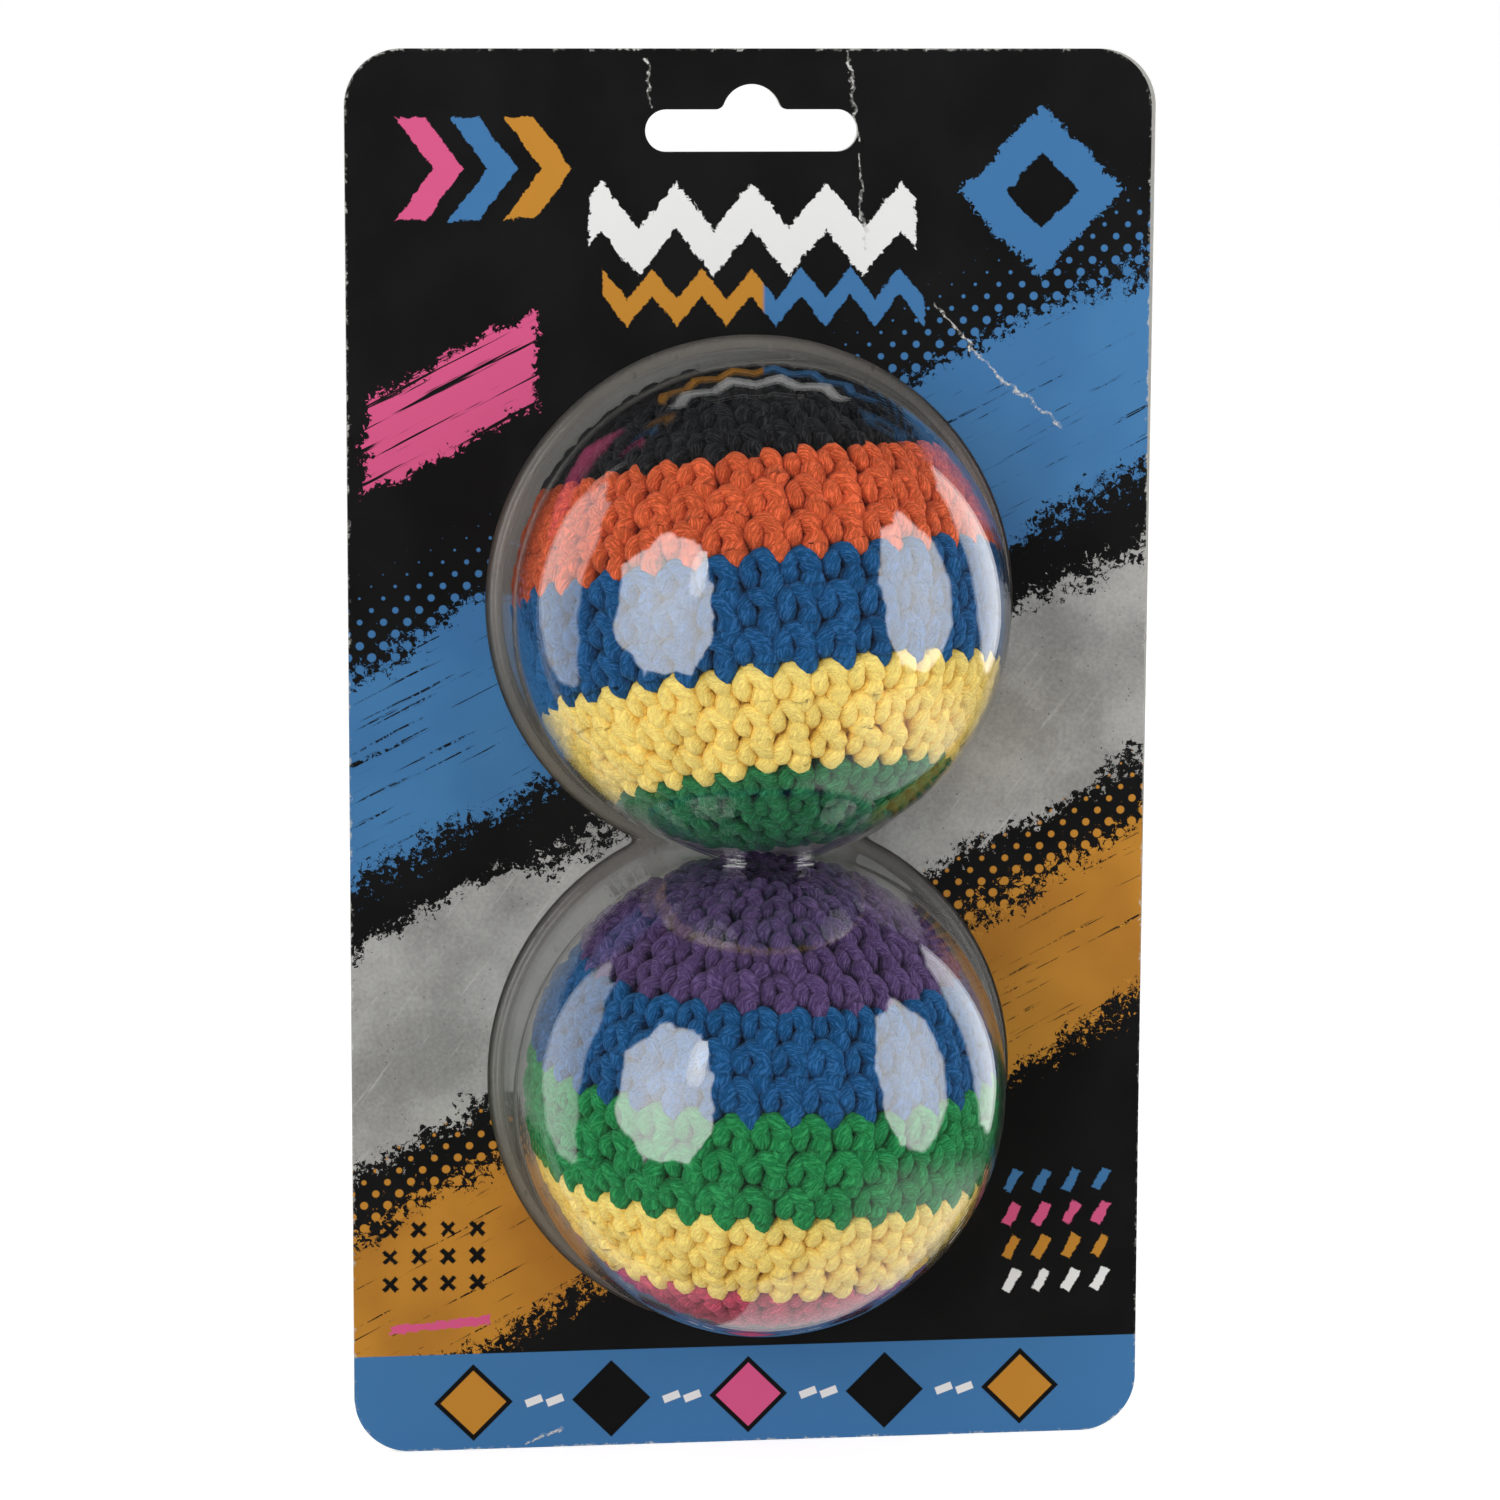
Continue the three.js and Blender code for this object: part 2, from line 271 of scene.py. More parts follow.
def closed_grid(rings, turns):
    """Quads of rings of points, each ring closed on itself."""
    j, k = np.meshgrid(np.arange(rings - 1), np.arange(turns), indexing="ij")
    after = (k + 1) % turns
    here, above = j * turns, (j + 1) * turns
    return np.stack([here + k, here + after, above + after, above + k], -1).reshape(-1, 4)


def full_turn(steps):
    """Angles in even steps round a circle."""
    return np.linspace(0, 2 * math.pi, steps, endpoint=False)


def tip_fan(start, turns, tip):
    """Triangles from a ring of points to one point."""
    ring = np.arange(turns)
    return np.stack([np.full(turns, tip), start + (ring + 1) % turns, start + ring], -1)


def arc(x, z, radius, start, end, steps):
    angle = np.linspace(start, end, steps, endpoint=False)
    return np.stack([x + radius * np.cos(angle), z + radius * np.sin(angle)], axis=1)


def back_profile(rim, flat, back):
    """Half the outline behind the rim: a square bend that spreads a little, then the flat back."""
    turn = np.linspace(0, math.pi / 2, 600)
    across, deep = (swing(turn) ** (2 / BACK_SQUARENESS) for swing in (np.cos, np.sin))
    spread = BACK_SPREAD * deep**1.5 * across
    bend = np.stack([flat + (rim - flat) * across + spread, back * deep], axis=1)
    disc = np.stack([np.linspace(flat, 0, 200)[1:], np.full(199, back)], axis=1)
    return np.concatenate([bend, disc])


class Surface:
    """A footbag's surface, drawn in by an inset. A direction from the bag's middle gives a place on it.

    The front is round and keeps a stitch's full size. Toward the flat back, stitches close up."""

    def __init__(self, rim, inset):
        flat = rim * FLAT_SHARE
        rim, front, back = rim - inset, BAG_DEPTH - inset, BACK_DEPTH - inset
        behind = back_profile(rim, flat, back)
        along = np.concatenate(([0], np.cumsum(np.linalg.norm(np.diff(behind, axis=0), axis=1))))
        share = along[-1] / (rim * math.pi / 2)
        fade = 0.08
        late = (1 - fade / share) / (1 - fade)
        self.angle = np.linspace(0, math.pi, 721)
        u = np.clip(self.angle / (math.pi / 2) - 1, 0, 1)
        reach = late * u + (1 / share - late) * fade * (1 - np.exp(-u / fade))
        reach = reach / reach[-1] * along[-1]
        ahead = self.angle <= math.pi / 2
        self.out = np.where(ahead, rim * np.sin(self.angle), np.interp(reach, along, behind[:, 0]))
        self.deep = np.where(ahead, -front * np.cos(self.angle), np.interp(reach, along, behind[:, 1]))
        out_step, deep_step = np.gradient(self.out), np.gradient(self.deep)
        length = np.hypot(out_step, deep_step)
        self.normal_out = np.where(ahead, np.sin(self.angle), np.abs(deep_step / length))
        self.normal_deep = np.where(ahead, -np.cos(self.angle), out_step / length)
        self.normal_out[-1], self.normal_deep[-1] = 0, 1
        pace = np.gradient(np.where(ahead, rim * self.angle, rim * math.pi / 2 + reach), self.angle)
        self.size = pace / rim

    def place(self, direction, height):
        angle = np.arccos(np.clip(-direction[..., 1], -1, 1))
        side = np.hypot(direction[..., 0], direction[..., 2])
        side = np.where(side < 1e-9, 1, side)
        across, up = direction[..., 0] / side, direction[..., 2] / side
        out, deep = np.interp(angle, self.angle, self.out), np.interp(angle, self.angle, self.deep)
        normal_out = np.interp(angle, self.angle, self.normal_out)
        normal_deep = np.interp(angle, self.angle, self.normal_deep)
        normal = np.stack([normal_out * across, normal_deep, normal_out * up], axis=-1)
        normal /= np.linalg.norm(normal, axis=-1, keepdims=True)
        point = np.stack([out * across, deep, out * up], axis=-1)
        return point + height[..., None] * normal, normal, np.interp(angle, self.angle, self.size)


def pole_axes(tip, roll):
    """The crown's direction, and the front and the right as seen with the crown up."""
    tip, roll = math.radians(tip), math.radians(roll)
    c, s = math.cos(tip), math.sin(tip)
    lean = np.array([[1, 0, 0], [0, c, s], [0, -s, c]])
    c, s = math.cos(roll), math.sin(roll)
    whole = np.array([[c, 0, s], [0, 1, 0], [-s, 0, c]]) @ lean
    return whole @ np.array([0, 0, 1]), whole @ np.array([0, -1, 0]), whole @ np.array([1, 0, 0])


def from_pole(axes, down, round_about):
    crown, front, right = axes
    level = np.cos(round_about)[..., None] * front + np.sin(round_about)[..., None] * right
    return np.cos(down)[..., None] * crown + np.sin(down)[..., None] * level


def through(points, steps):
    """A smooth line through control points, by steps that are even in the points' count."""
    points = np.asarray(points, float)
    padded = np.vstack([2 * points[0] - points[1], points, 2 * points[-1] - points[-2]])
    at = np.linspace(0, len(points) - 1, steps)
    index = np.minimum(at.astype(int), len(points) - 2)
    t = (at - index)[:, None]
    a, b, c, d = (padded[index + k] for k in range(4))
    bend, turn = 2 * a - 5 * b + 4 * c - d, 3 * b - a - 3 * c + d
    return 0.5 * (2 * b + (c - a) * t + bend * t**2 + turn * t**3)


# One single crochet stitch seen with the crown up: an oval left leg, a right leg that arches over it
# from the top, and the plump loop under the right leg, which shows between the next round's stitches.
# Each line has places across in stitch widths, down in rounds, and out in millimetres, and a yarn radius.
# The twist is the length of a full turn of the plies.
LEGS = {
    "left": dict(
        line=[
            (-0.07, 0.05, -0.7, 1.0), (-0.18, 0.17, 0.15, 1.32), (-0.265, 0.40, 0.5, 1.5),
            (-0.235, 0.62, 0.2, 1.42), (-0.18, 0.82, -1.0, 1.0),
        ],
        rings=12, twist=-11.0,
    ),
    "right": dict(
        line=[
            (-0.12, 0.05, -0.5, 1.0), (0.02, 0.06, 0.35, 1.35), (0.19, 0.19, 0.65, 1.6),
            (0.30, 0.42, 0.3, 1.6), (0.36, 0.66, -0.8, 1.25), (0.39, 0.86, -1.5, 0.9),
        ],
        rings=14, twist=11.0,
    ),
    "loop": dict(
        line=[
            (0.33, 0.48, -1.2, 1.2), (0.28, 0.66, -0.05, 1.75), (0.25, 0.87, 0.4, 1.98),
            (0.27, 1.07, 0.0, 1.6), (0.29, 1.26, -1.0, 0.8),
        ],
        rings=13, twist=-12.0,
    ),
}
SIDES = 20
PLIES = 5
FULL_WIDTH = 5.4
LEAN = 0.18
CORNER_TURNS = 1.2

# How much stitches differ, how much a leg wanders along its way, in stitch widths across, rounds down,
# millimetres out and shares of the yarn's thickness, and how rough the yarn is in millimetres
LOOSE = ((0.03, 0.022), (0.025, 0.02), (0.10, 0.10), (0.04, 0.05))
PLY_DEPTH = 0.09
ROUGHNESS = 0.045


def swelling(chance, number, rings, kinds):
    """Smooth random courses along the legs of a round's stitches, one for each kind."""
    knots = chance.normal(0, 1, (kinds, number, 5))
    at = np.linspace(0, 4, rings)
    index = np.minimum(at.astype(int), 3)
    share = at - index
    share = share**2 * (3 - 2 * share)
    return knots[:, :, index] * (1 - share) + knots[:, :, index + 1] * share


def corner_places(rings):
    """The ring and the angle round the yarn of each corner of a leg's quads."""
    j, k = np.meshgrid(np.arange(rings - 1), np.arange(SIDES), indexing="ij")
    rows = np.stack([j, j, j + 1, j + 1], -1).reshape(-1, 4)
    share = np.stack([k, k + 1, k + 1, k], -1).reshape(-1, 4) / SIDES
    return rows, share[None] * 2 * math.pi - math.pi / 2


def end_fans(rings):
    """Triangles that close both ends of a leg."""
    side = np.arange(1, SIDES - 1)
    start = np.stack([0 * side, side + 1, side], -1)
    far = np.stack([0 * side, side, side + 1], -1) + (rings - 1) * SIDES
    return np.concatenate([start, far])


def leg_tubes(surface, direction, out, thick, twist, chance):
    """Rings of points round one leg of each stitch, the turn of its plies, its length and its depths."""
    centre, normal, size = surface.place(direction, out)
    step = np.gradient(centre, axis=1)
    pace = np.linalg.norm(step, axis=-1, keepdims=True)
    tangent = step / pace
    beside = np.cross(tangent, normal)
    beside /= np.linalg.norm(beside, axis=-1, keepdims=True)
    outward = np.cross(beside, tangent)
    along = np.cumsum(pace[..., 0], axis=1)
    around = full_turn(SIDES) - math.pi / 2
    turned = chance.uniform(0, 2 * math.pi, (len(out), 1)) + 2 * math.pi * along / twist
    lobes = 1 + PLY_DEPTH * (np.abs(np.cos(PLIES / 2 * (around - turned[..., None]))) - 0.6)
    reach = (thick * np.sqrt(size))[..., None] * lobes
    reach = reach + chance.normal(0, ROUGHNESS, reach.shape)
    rise = reach * np.sin(around)
    sideways = (reach * np.cos(around))[..., None] * beside[:, :, None]
    rings = centre[:, :, None] + sideways + rise[..., None] * outward[:, :, None]
    return rings, turned, along, out[..., None] + rise


def yarn_mesh(bag, first, last):
    """Points, quads, triangles, corner coordinates, tones and depths of a run of rounds."""
    surface = Surface(bag["rim"], COVER)
    axes = pole_axes(bag["tip"], bag["roll"])
    chance = np.random.default_rng(bag["seed"] + first)
    points, quads, caps, corners, tones, depths = [], [], [], [], [], []
    base = 0
    for index in range(first, last):
        number = COUNTS[index]
        width = 2 * math.pi * (bag["rim"] - COVER) * math.sin((index + 0.5) * ROUND_ANGLE) / number
        slim = min(1.0, width / FULL_WIDTH)
        ids = np.arange(number)
        start = ids * 2 * math.pi / number - LEAN * index * 2 * math.pi / number + 1.7 * (number % 3)
        shift = chance.normal(0, 1, (number, 4))
        for leg in LEGS.values():
            rings = leg["rings"]
            line = through(leg["line"], rings)
            wander = swelling(chance, number, rings, 4)
            loose = [
                differ * shift[:, kind, None] + roam * wander[kind]
                for kind, (differ, roam) in enumerate(LOOSE)
            ]
            across = line[None, :, 0] + loose[0]
            down = line[None, :, 1] + loose[1]
            thick = line[None, :, 3] * slim * (1 + loose[3])
            out = np.minimum(line[None, :, 2] * slim + loose[2], COVER - thick)
            angle_round = start[:, None] + across * 2 * math.pi / number
            direction = from_pole(axes, (index + down) * ROUND_ANGLE, angle_round)
            tubes, turned, along, depth = leg_tubes(surface, direction, out, thick, leg["twist"], chance)
            points.append(tubes.reshape(-1, 3))
            depths.append(depth.ravel())
            block = rings * SIDES
            offsets = (base + ids * block)[:, None, None]
            quads.append((closed_grid(rings, SIDES)[None] + offsets).reshape(-1, 4))
            caps.append((end_fans(rings)[None] + offsets).reshape(-1, 3))
            rows, angle = corner_places(rings)
            lay = np.stack([(angle - turned[:, rows]) * CORNER_TURNS, along[:, rows]], -1)
            corners.append(lay.reshape(-1, 2))
            tone = chance.normal(0, 1, (number, 1)) * 0.5 + shift[:, 3, None] * 0.5
            tones.append(np.repeat(tone, block, axis=1).ravel())
            base += number * block
    return [np.concatenate(part) for part in (points, quads, caps, corners, tones, depths)]


def backing_mesh(bag, first, last):
    """The dense inner side of the crochet between two rounds, as one closed band or cap. Its material
    paints it in the yarn's full painted shade, the dark seen between stitches.
    """
    total = sum(ROUNDS)
    axes = pole_axes(bag["tip"], bag["roll"])
    outer, inner = Surface(bag["rim"], BACKING_OUTSIDE), Surface(bag["rim"], BACKING_INSIDE)
    pole, seam = 0.02, 0.004
    low = pole if first == 0 else first * ROUND_ANGLE + seam
    high = math.pi - pole if last == total else last * ROUND_ANGLE - seam
    steps, turns = 6 * (last - first), 72
    down, side = np.meshgrid(np.linspace(low, high, steps + 1), full_turn(turns), indexing="ij")
    direction = from_pole(axes, down, side)
    outside, inside = (
        surface.place(direction, np.zeros(down.shape))[0].reshape(-1, 3) for surface in (outer, inner)
    )
    sheet = closed_grid(steps + 1, turns)
    half, edge = len(outside), steps * turns
    quads, fans = [sheet[:, ::-1], sheet + half], [np.zeros((0, 3), int)]
    ring = np.arange(turns)
    following = (ring + 1) % turns
    rim = np.stack([ring, following, following + half, ring + half], -1)
    spoke = np.arange(1, turns - 1)
    fan = np.stack([0 * spoke, spoke, spoke + 1], -1)
    if first:
        quads.append(rim)
    else:
        fans += [fan, fan[:, ::-1] + half]
    if last < total:
        quads.append(rim[:, ::-1] + edge)
    else:
        fans += [fan[:, ::-1] + edge, fan + edge + half]
    return np.concatenate([outside, inside]), np.concatenate(quads), np.concatenate(fans)


def yarn_material(slot):
    colour = YARN_COLOURS[slot]
    material, n = new_material(slot)
    lay = n.separate(n.add("ShaderNodeUVMap", uv_map="yarn_lay").outputs[0])
    tone, depth = (
        n.add("ShaderNodeAttribute", attribute_name=label, attribute_type="GEOMETRY").outputs["Fac"]
        for label in ("stitch_tone", "yarn_depth")
    )
    place = n.object_mm()
    slant = n.scaled(n.noise(place, 0.45, 1.0), 0.9, lay[0])
    fibres = n.streaks(slant, 4.2, lay[1], 1.3, 1.0, 0.5, tone)
    threads = n.streaks(slant, 9.0, lay[1], 2.6, 2.0, 0.6, tone)
    fuzz = n.noise(place, 3.5, 3.0, 0.7)
    streak = n.plus(n.times(fibres, 0.55), n.times(threads, 0.45))
    light = 0.21 * colour[0] + 0.72 * colour[1] + 0.07 * colour[2]
    contrast = 1.0 - 0.9 * light
    # Fibre strokes: partly the yarn's own fibre texture, partly a painted highlight that brightens the
    # colour along them
    stroke = n.ease(streak, 0.42, 0.64)
    # Painted shade: each point's yarn_depth darkens and deepens the colour toward the crevices between
    # stitches, where shade falls
    deep = n.ease(depth, 2.0, 0.1)
    crevice_shade_colour = [(0.42 + 0.55 * light) * c ** (1.05 + 1.1 * light) for c in colour]
    tint = n.mix(deep, colour, crevice_shade_colour)
    # Painted highlight: on the strokes the colour pales toward grey and is brightened
    tint = n.mix(n.times(stroke, 0.02 * contrast), tint, (0.85, 0.85, 0.85))
    highlight_and_tone = n.scaled(stroke, 0.85 * contrast, 1.0 - 0.24 * contrast)
    highlight_and_tone = n.times(highlight_and_tone, n.ease(fuzz, 0.3, 0.7, 0.86, 1.14))
    highlight_and_tone = n.times(highlight_and_tone, n.scaled(tone, 0.06, 1.16))
    tint = n.add("ShaderNodeVectorMath", {0: tint, 3: highlight_and_tone}, operation="SCALE").outputs[0]
    height = n.plus(n.times(fibres, 0.5), n.times(threads, 0.3))
    height = n.plus(height, n.times(fuzz, 0.3))
    normal = n.bump(height, 1.0, 0.00045)
    rough = n.ease(threads, 0.3, 0.7, 0.8, 0.95)
    n.surface(
        tint, rough, normal, Sheen_Weight=0.2, Sheen_Roughness=0.5,
        Sheen_Tint=(*[0.1 + 0.9 * c ** 0.5 for c in colour], 1.0), Specular_IOR_Level=0.1,
    )
    return material


def make_cover(name, bag):
    first = 0
    for yarn, slot, rounds in zip(bag["yarns"], bag["slots"], ROUNDS):
        last = first + rounds
        points, quads, caps, corners, tones, depths = yarn_mesh(bag, first, last)
        inner_points, inner_quads, inner_fans = backing_mesh(bag, first, last)
        every = np.concatenate([points, inner_points]) + np.array(bag["centre"])
        faces = np.concatenate([quads, inner_quads + len(points)])
        fans = np.concatenate([caps, inner_fans + len(points)])
        cover = mesh_object(f"{name}_{yarn}_crochet", every, faces, fans)
        lay = cover.data.uv_layers.new(name="yarn_lay")
        values = np.zeros((len(cover.data.loops), 2), np.float32)
        values[: len(corners)] = corners
        lay.data.foreach_set("uv", values.ravel())
        # The backing lies deepest, so the yarn material gives it the painted shade colour all over
        for label, outer, inner in (("stitch_tone", tones, 0.0), ("yarn_depth", depths, -BACKING_INSIDE)):
            stored = cover.data.attributes.new(label, "FLOAT", "POINT")
            whole = np.concatenate([outer, np.full(len(inner_points), inner)]).astype(np.float32)
            stored.data.foreach_set("value", whole)
        dress(cover, bag["body"], slot, MATERIALS[slot], f"{name}_{yarn}")
        first = last


MATERIALS = {slot: yarn_material(slot) for slot in YARN_COLOURS}
for bag_name, bag_facts in BAGS.items():
    make_cover(bag_name, bag_facts)


# Inside of each footbag: cloth liner, its tie and the pellets

def liner_shoulder(bag):
    """How far above the bag's middle the liner is gathered."""
    return bag["rim"] - SHOULDER_DEPTH


def gathered_neck(edge, about, pleat, shoulder):
    """Rings from the edge of the liner's body in to its neck, and up the frill above the tie."""
    neck_radius, frill, mouth = 3.9, 2.5, shoulder - 0.1
    heading = np.stack([np.sin(about), -np.cos(about)], -1)
    rings = []
    for share in np.linspace(0, 1, 14)[1:]:
        reach = (1 - share) ** 1.3
        ring = edge.copy()
        ring[:, :2] = edge[:, :2] * reach + heading * neck_radius * (1 - reach)
        ring[:, 2] += (mouth - edge[:, 2]) * math.sin(share * math.pi / 2) + 0.18 * pleat * reach
        rings.append(ring)
    neck = rings[-1]
    for rise in np.linspace(0, 1, 7)[1:]:
        ring = neck.copy()
        ring[:, :2] *= (1 + 0.03 * pleat * rise - 0.08 * math.sin(rise * math.pi))[:, None]
        ring[:, 2] += frill * rise
        rings.append(ring)
    return rings


def make_liner(name, bag):
    turns, rings, folded = 144, 56, 9.0
    shoulder = liner_shoulder(bag)
    surface, axes = Surface(bag["rim"], LINER_DEPTH), pole_axes(0.0, 0.0)
    about = full_turn(turns)
    top = math.acos(shoulder / (bag["rim"] - LINER_DEPTH)) + 0.02
    down, side = np.meshgrid(np.linspace(math.pi - 0.01, top, rings), about, indexing="ij")
    body = surface.place(from_pole(axes, down, side), np.zeros(down.shape))[0]
    pleat = np.sin(18 * about) + 0.4 * np.sin(31 * about + 1.3)
    near = np.clip((body[..., 2] - shoulder + folded) / folded, 0, 1) ** 2
    out = np.stack([body[..., 0], body[..., 1], np.zeros(down.shape)], -1)
    out /= np.maximum(np.linalg.norm(out, axis=-1, keepdims=True), 1e-9)
    body = body - out * (near * (0.25 + 0.2 * pleat))[..., None]
    gathered = gathered_neck(body[-1], about, pleat, shoulder)
    points = np.concatenate([body.reshape(-1, 3), *gathered]) + np.array(bag["centre"])
    points = np.vstack([points, points[:turns].mean(axis=0)])
    floor_fan = tip_fan(0, turns, len(points) - 1)
    grid = closed_grid(rings + len(gathered), turns)
    sheet = mesh_object(f"{name}_cloth_liner", points, grid, floor_fan)
    dress(thickened(sheet, 0.45, 0.0), bag["body"], "liner_cloth", LINER_CLOTH, f"{name}_liner")


def evaluated_mesh(thing):
    return bpy.data.meshes.new_from_object(thing.evaluated_get(bpy.context.evaluated_depsgraph_get()))


def thickened(thing, thickness, offset):
    """The piece as a closed sheet of a thickness in millimetres."""
    modifier = thing.modifiers.new("sheet", "SOLIDIFY")
    modifier.thickness, modifier.offset = thickness * MM, offset
    modifier.use_even_offset = False
    mesh = evaluated_mesh(thing)
    thing.modifiers.clear()
    thing.data = mesh
    return thing


def make_tie(name, bag):
    turns, sides, ring_radius, thread = 180, 12, 4.9, 0.55
    about, around = full_turn(turns)[:, None], full_turn(sides)[None]
    reach = thread * (1 + 0.18 * (np.abs(np.cos(1.5 * (around - 14 * about / 1.5))) - 0.6))
    out = ring_radius + reach * np.cos(around)
    height = liner_shoulder(bag) + 1.4 + reach * np.sin(around) + 0.12 * np.sin(3 * about)
    points = np.stack([out * np.cos(about), out * np.sin(about), height], -1).reshape(-1, 3)
    j, k = np.meshgrid(np.arange(turns), np.arange(sides), indexing="ij")
    ahead, after = (j + 1) % turns, (k + 1) % sides
    grid = np.stack([j * sides + k, ahead * sides + k, ahead * sides + after, j * sides + after], -1)
    thing = mesh_object(f"{name}_tie_thread", points + np.array(bag["centre"]), grid.reshape(-1, 4))
    dress(thing, bag["body"], "tie_thread", TIE_THREAD, f"{name}_liner_tie")


def make_fill(name, bag):
    """The heap of pellets as its outer skin, each pellet a round bump."""
    turns, rings, pellet, count = 180, 110, 1.9, 900
    surface, axes = Surface(bag["rim"], FILL_DEPTH), pole_axes(0.0, 0.0)
    about = full_turn(turns)
    down, side = np.meshgrid(np.linspace(math.pi - 0.004, 0.004, rings), about, indexing="ij")
    skin, normal, _ = surface.place(from_pole(axes, down, side), np.zeros(down.shape))
    skin, normal = skin.reshape(-1, 3), normal.reshape(-1, 3)
    index = np.arange(count) + 0.5
    seed_down, seed_side = np.arccos(1 - 2 * index / count), math.pi * (1 + 5**0.5) * index
    seeds = surface.place(from_pole(axes, seed_down, seed_side), np.zeros(count))[0]
    seeds += np.random.default_rng(bag["seed"]).normal(0, 0.35, seeds.shape)
    distance = np.full(len(skin), math.inf)
    for seed in seeds:
        distance = np.minimum(distance, np.linalg.norm(skin - seed, axis=1))
    dent = pellet - np.sqrt(pellet**2 - np.minimum(distance, pellet * 0.97) ** 2)
    points = skin - normal * dent[:, None] * 0.8
    points[:, 2] = np.minimum(points[:, 2], liner_shoulder(bag) - 0.9)
    points = np.vstack([points, points[:turns].mean(0), points[-turns:].mean(0)])
    low = tip_fan(0, turns, len(points) - 2)
    high = tip_fan((rings - 1) * turns, turns, len(points) - 1)[:, ::-1]
    fans = np.concatenate([low, high])
    points += np.array(bag["centre"])
    thing = mesh_object(f"{name}_pellets", points, closed_grid(rings, turns), fans)
    dress(thing, bag["body"], "pellets", PELLETS, f"{name}_pellet_fill")


def cloth_material():
    material, n = new_material("liner_cloth")
    place = n.object_mm()
    x, y, z = n.separate(place)[:3]
    warp = n.maths("SINE", n.times(n.plus(x, y), 9.0))
    weft = n.maths("SINE", n.times(z, 12.0))
    weave = n.times(warp, weft)
    slub = n.noise(place, 0.8, 3.0)
    colour = n.mix(n.ease(slub, 0.3, 0.7), (0.66, 0.62, 0.53), (0.80, 0.77, 0.69))
    colour = n.mix(n.ease(weave, -1.0, 1.0, 0.0, 0.25), colour, (0.45, 0.42, 0.35))
    normal = n.bump(weave, 0.5, 0.00012)
    n.surface(colour, n.ease(slub, 0.2, 0.8, 0.82, 0.95), normal, Specular_IOR_Level=0.2)
    return material


def thread_material():
    material, n = new_material("tie_thread")
    place = n.object_mm()
    fibres = n.noise(place, 4.0, 3.0, 0.6)
    colour = n.mix(n.ease(fibres, 0.35, 0.65), (0.60, 0.57, 0.50), (0.85, 0.83, 0.77))
    rough = n.ease(fibres, 0.3, 0.7, 0.7, 0.9)
    n.surface(colour, rough, n.bump(fibres, 0.6, 0.0002), Specular_IOR_Level=0.25)
    return material


def pellet_material():
    material, n = new_material("pellets")
    place = n.object_mm()
    cells = n.voronoi(place, 0.28)
    tone = n.separate(cells.outputs["Color"])[0]
    colour = n.mix(tone, (0.52, 0.49, 0.40), (0.78, 0.76, 0.68))
    fine = n.noise(place, 2.5, 2.0)
    n.surface(colour, n.ease(fine, 0.3, 0.7, 0.35, 0.55), n.bump(fine, 0.3, 0.0001))
    return material


LINER_CLOTH, TIE_THREAD, PELLETS = cloth_material(), thread_material(), pellet_material()
for bag_name, bag_facts in BAGS.items():
    make_liner(bag_name, bag_facts)
    make_tie(bag_name, bag_facts)
    make_fill(bag_name, bag_facts)


# Boards

def board_outline(left, right, lean=0.0):
    """The rounded outline. With a lean, the right edge comes in by that much at the bottom."""
    r = CORNER_RADIUS
    steps = 24
    corners = []
    top, bottom = CARD_TOP - r, CARD_BOTTOM + r
    places = [(right - r, top), (left + r, top), (left + r, bottom), (right - r, bottom)]
    for index, (x, z) in enumerate(places):
        start = index * math.pi / 2
        corners.append(arc(x, z, r, start, start + math.pi / 2, steps))
        corners.append(arc(x, z, r, start + math.pi / 2, start + math.pi / 2, 1))
    outline = np.concatenate(corners)
    drop = (CARD_TOP - outline[:, 1]) / (CARD_TOP - CARD_BOTTOM)
    outline[:, 0] -= np.where(outline[:, 0] > 0, lean * drop, 0)
    return outline


def slot_outline():
    """The hang slot: two round-ended arms, and a round notch in the middle with eased shoulders."""
    width, height, notch, rise, shoulder = 31.6, 6.2, 4.4, 3.7, 1.3
    arm, end = height / 2, width / 2 - height / 2
    top = -rise
    level = top - arm
    side = top + shoulder
    across = math.sqrt((notch + shoulder) ** 2 - (side + notch) ** 2)
    meet = math.atan2(side + notch, across)
    quarter = math.pi / 2
    return np.concatenate([
        arc(end, level, arm, -quarter, quarter, 28), arc(end, level, arm, quarter, quarter, 1),
        arc(across, side, shoulder, -quarter, meet - math.pi, 8),
        arc(0, -notch, notch, meet, math.pi - meet, 36),
        arc(-across, side, shoulder, -meet, -quarter, 8),
        arc(-across, side, shoulder, -quarter, -quarter, 1),
        arc(-end, level, arm, quarter, 3 * quarter, 28),
        arc(-end, level, arm, 3 * quarter, 3 * quarter, 1),
    ])


def window_outline(radius, neck):
    """The window round both domes: two circles, and an eased corner on each side of the neck."""
    half = SPACING / 2
    side = math.sqrt((radius + neck) ** 2 - half**2)
    meet = math.atan2(half, side)
    return np.concatenate([
        arc(0, NECK_Z + half, radius, -meet, math.pi + meet, 200),
        arc(-side, NECK_Z, neck, meet, -meet, 14),
        arc(0, NECK_Z - half, radius, math.pi - meet, 2 * math.pi + meet, 200),
        arc(side, NECK_Z, neck, math.pi + meet, math.pi - meet, 14),
    ])


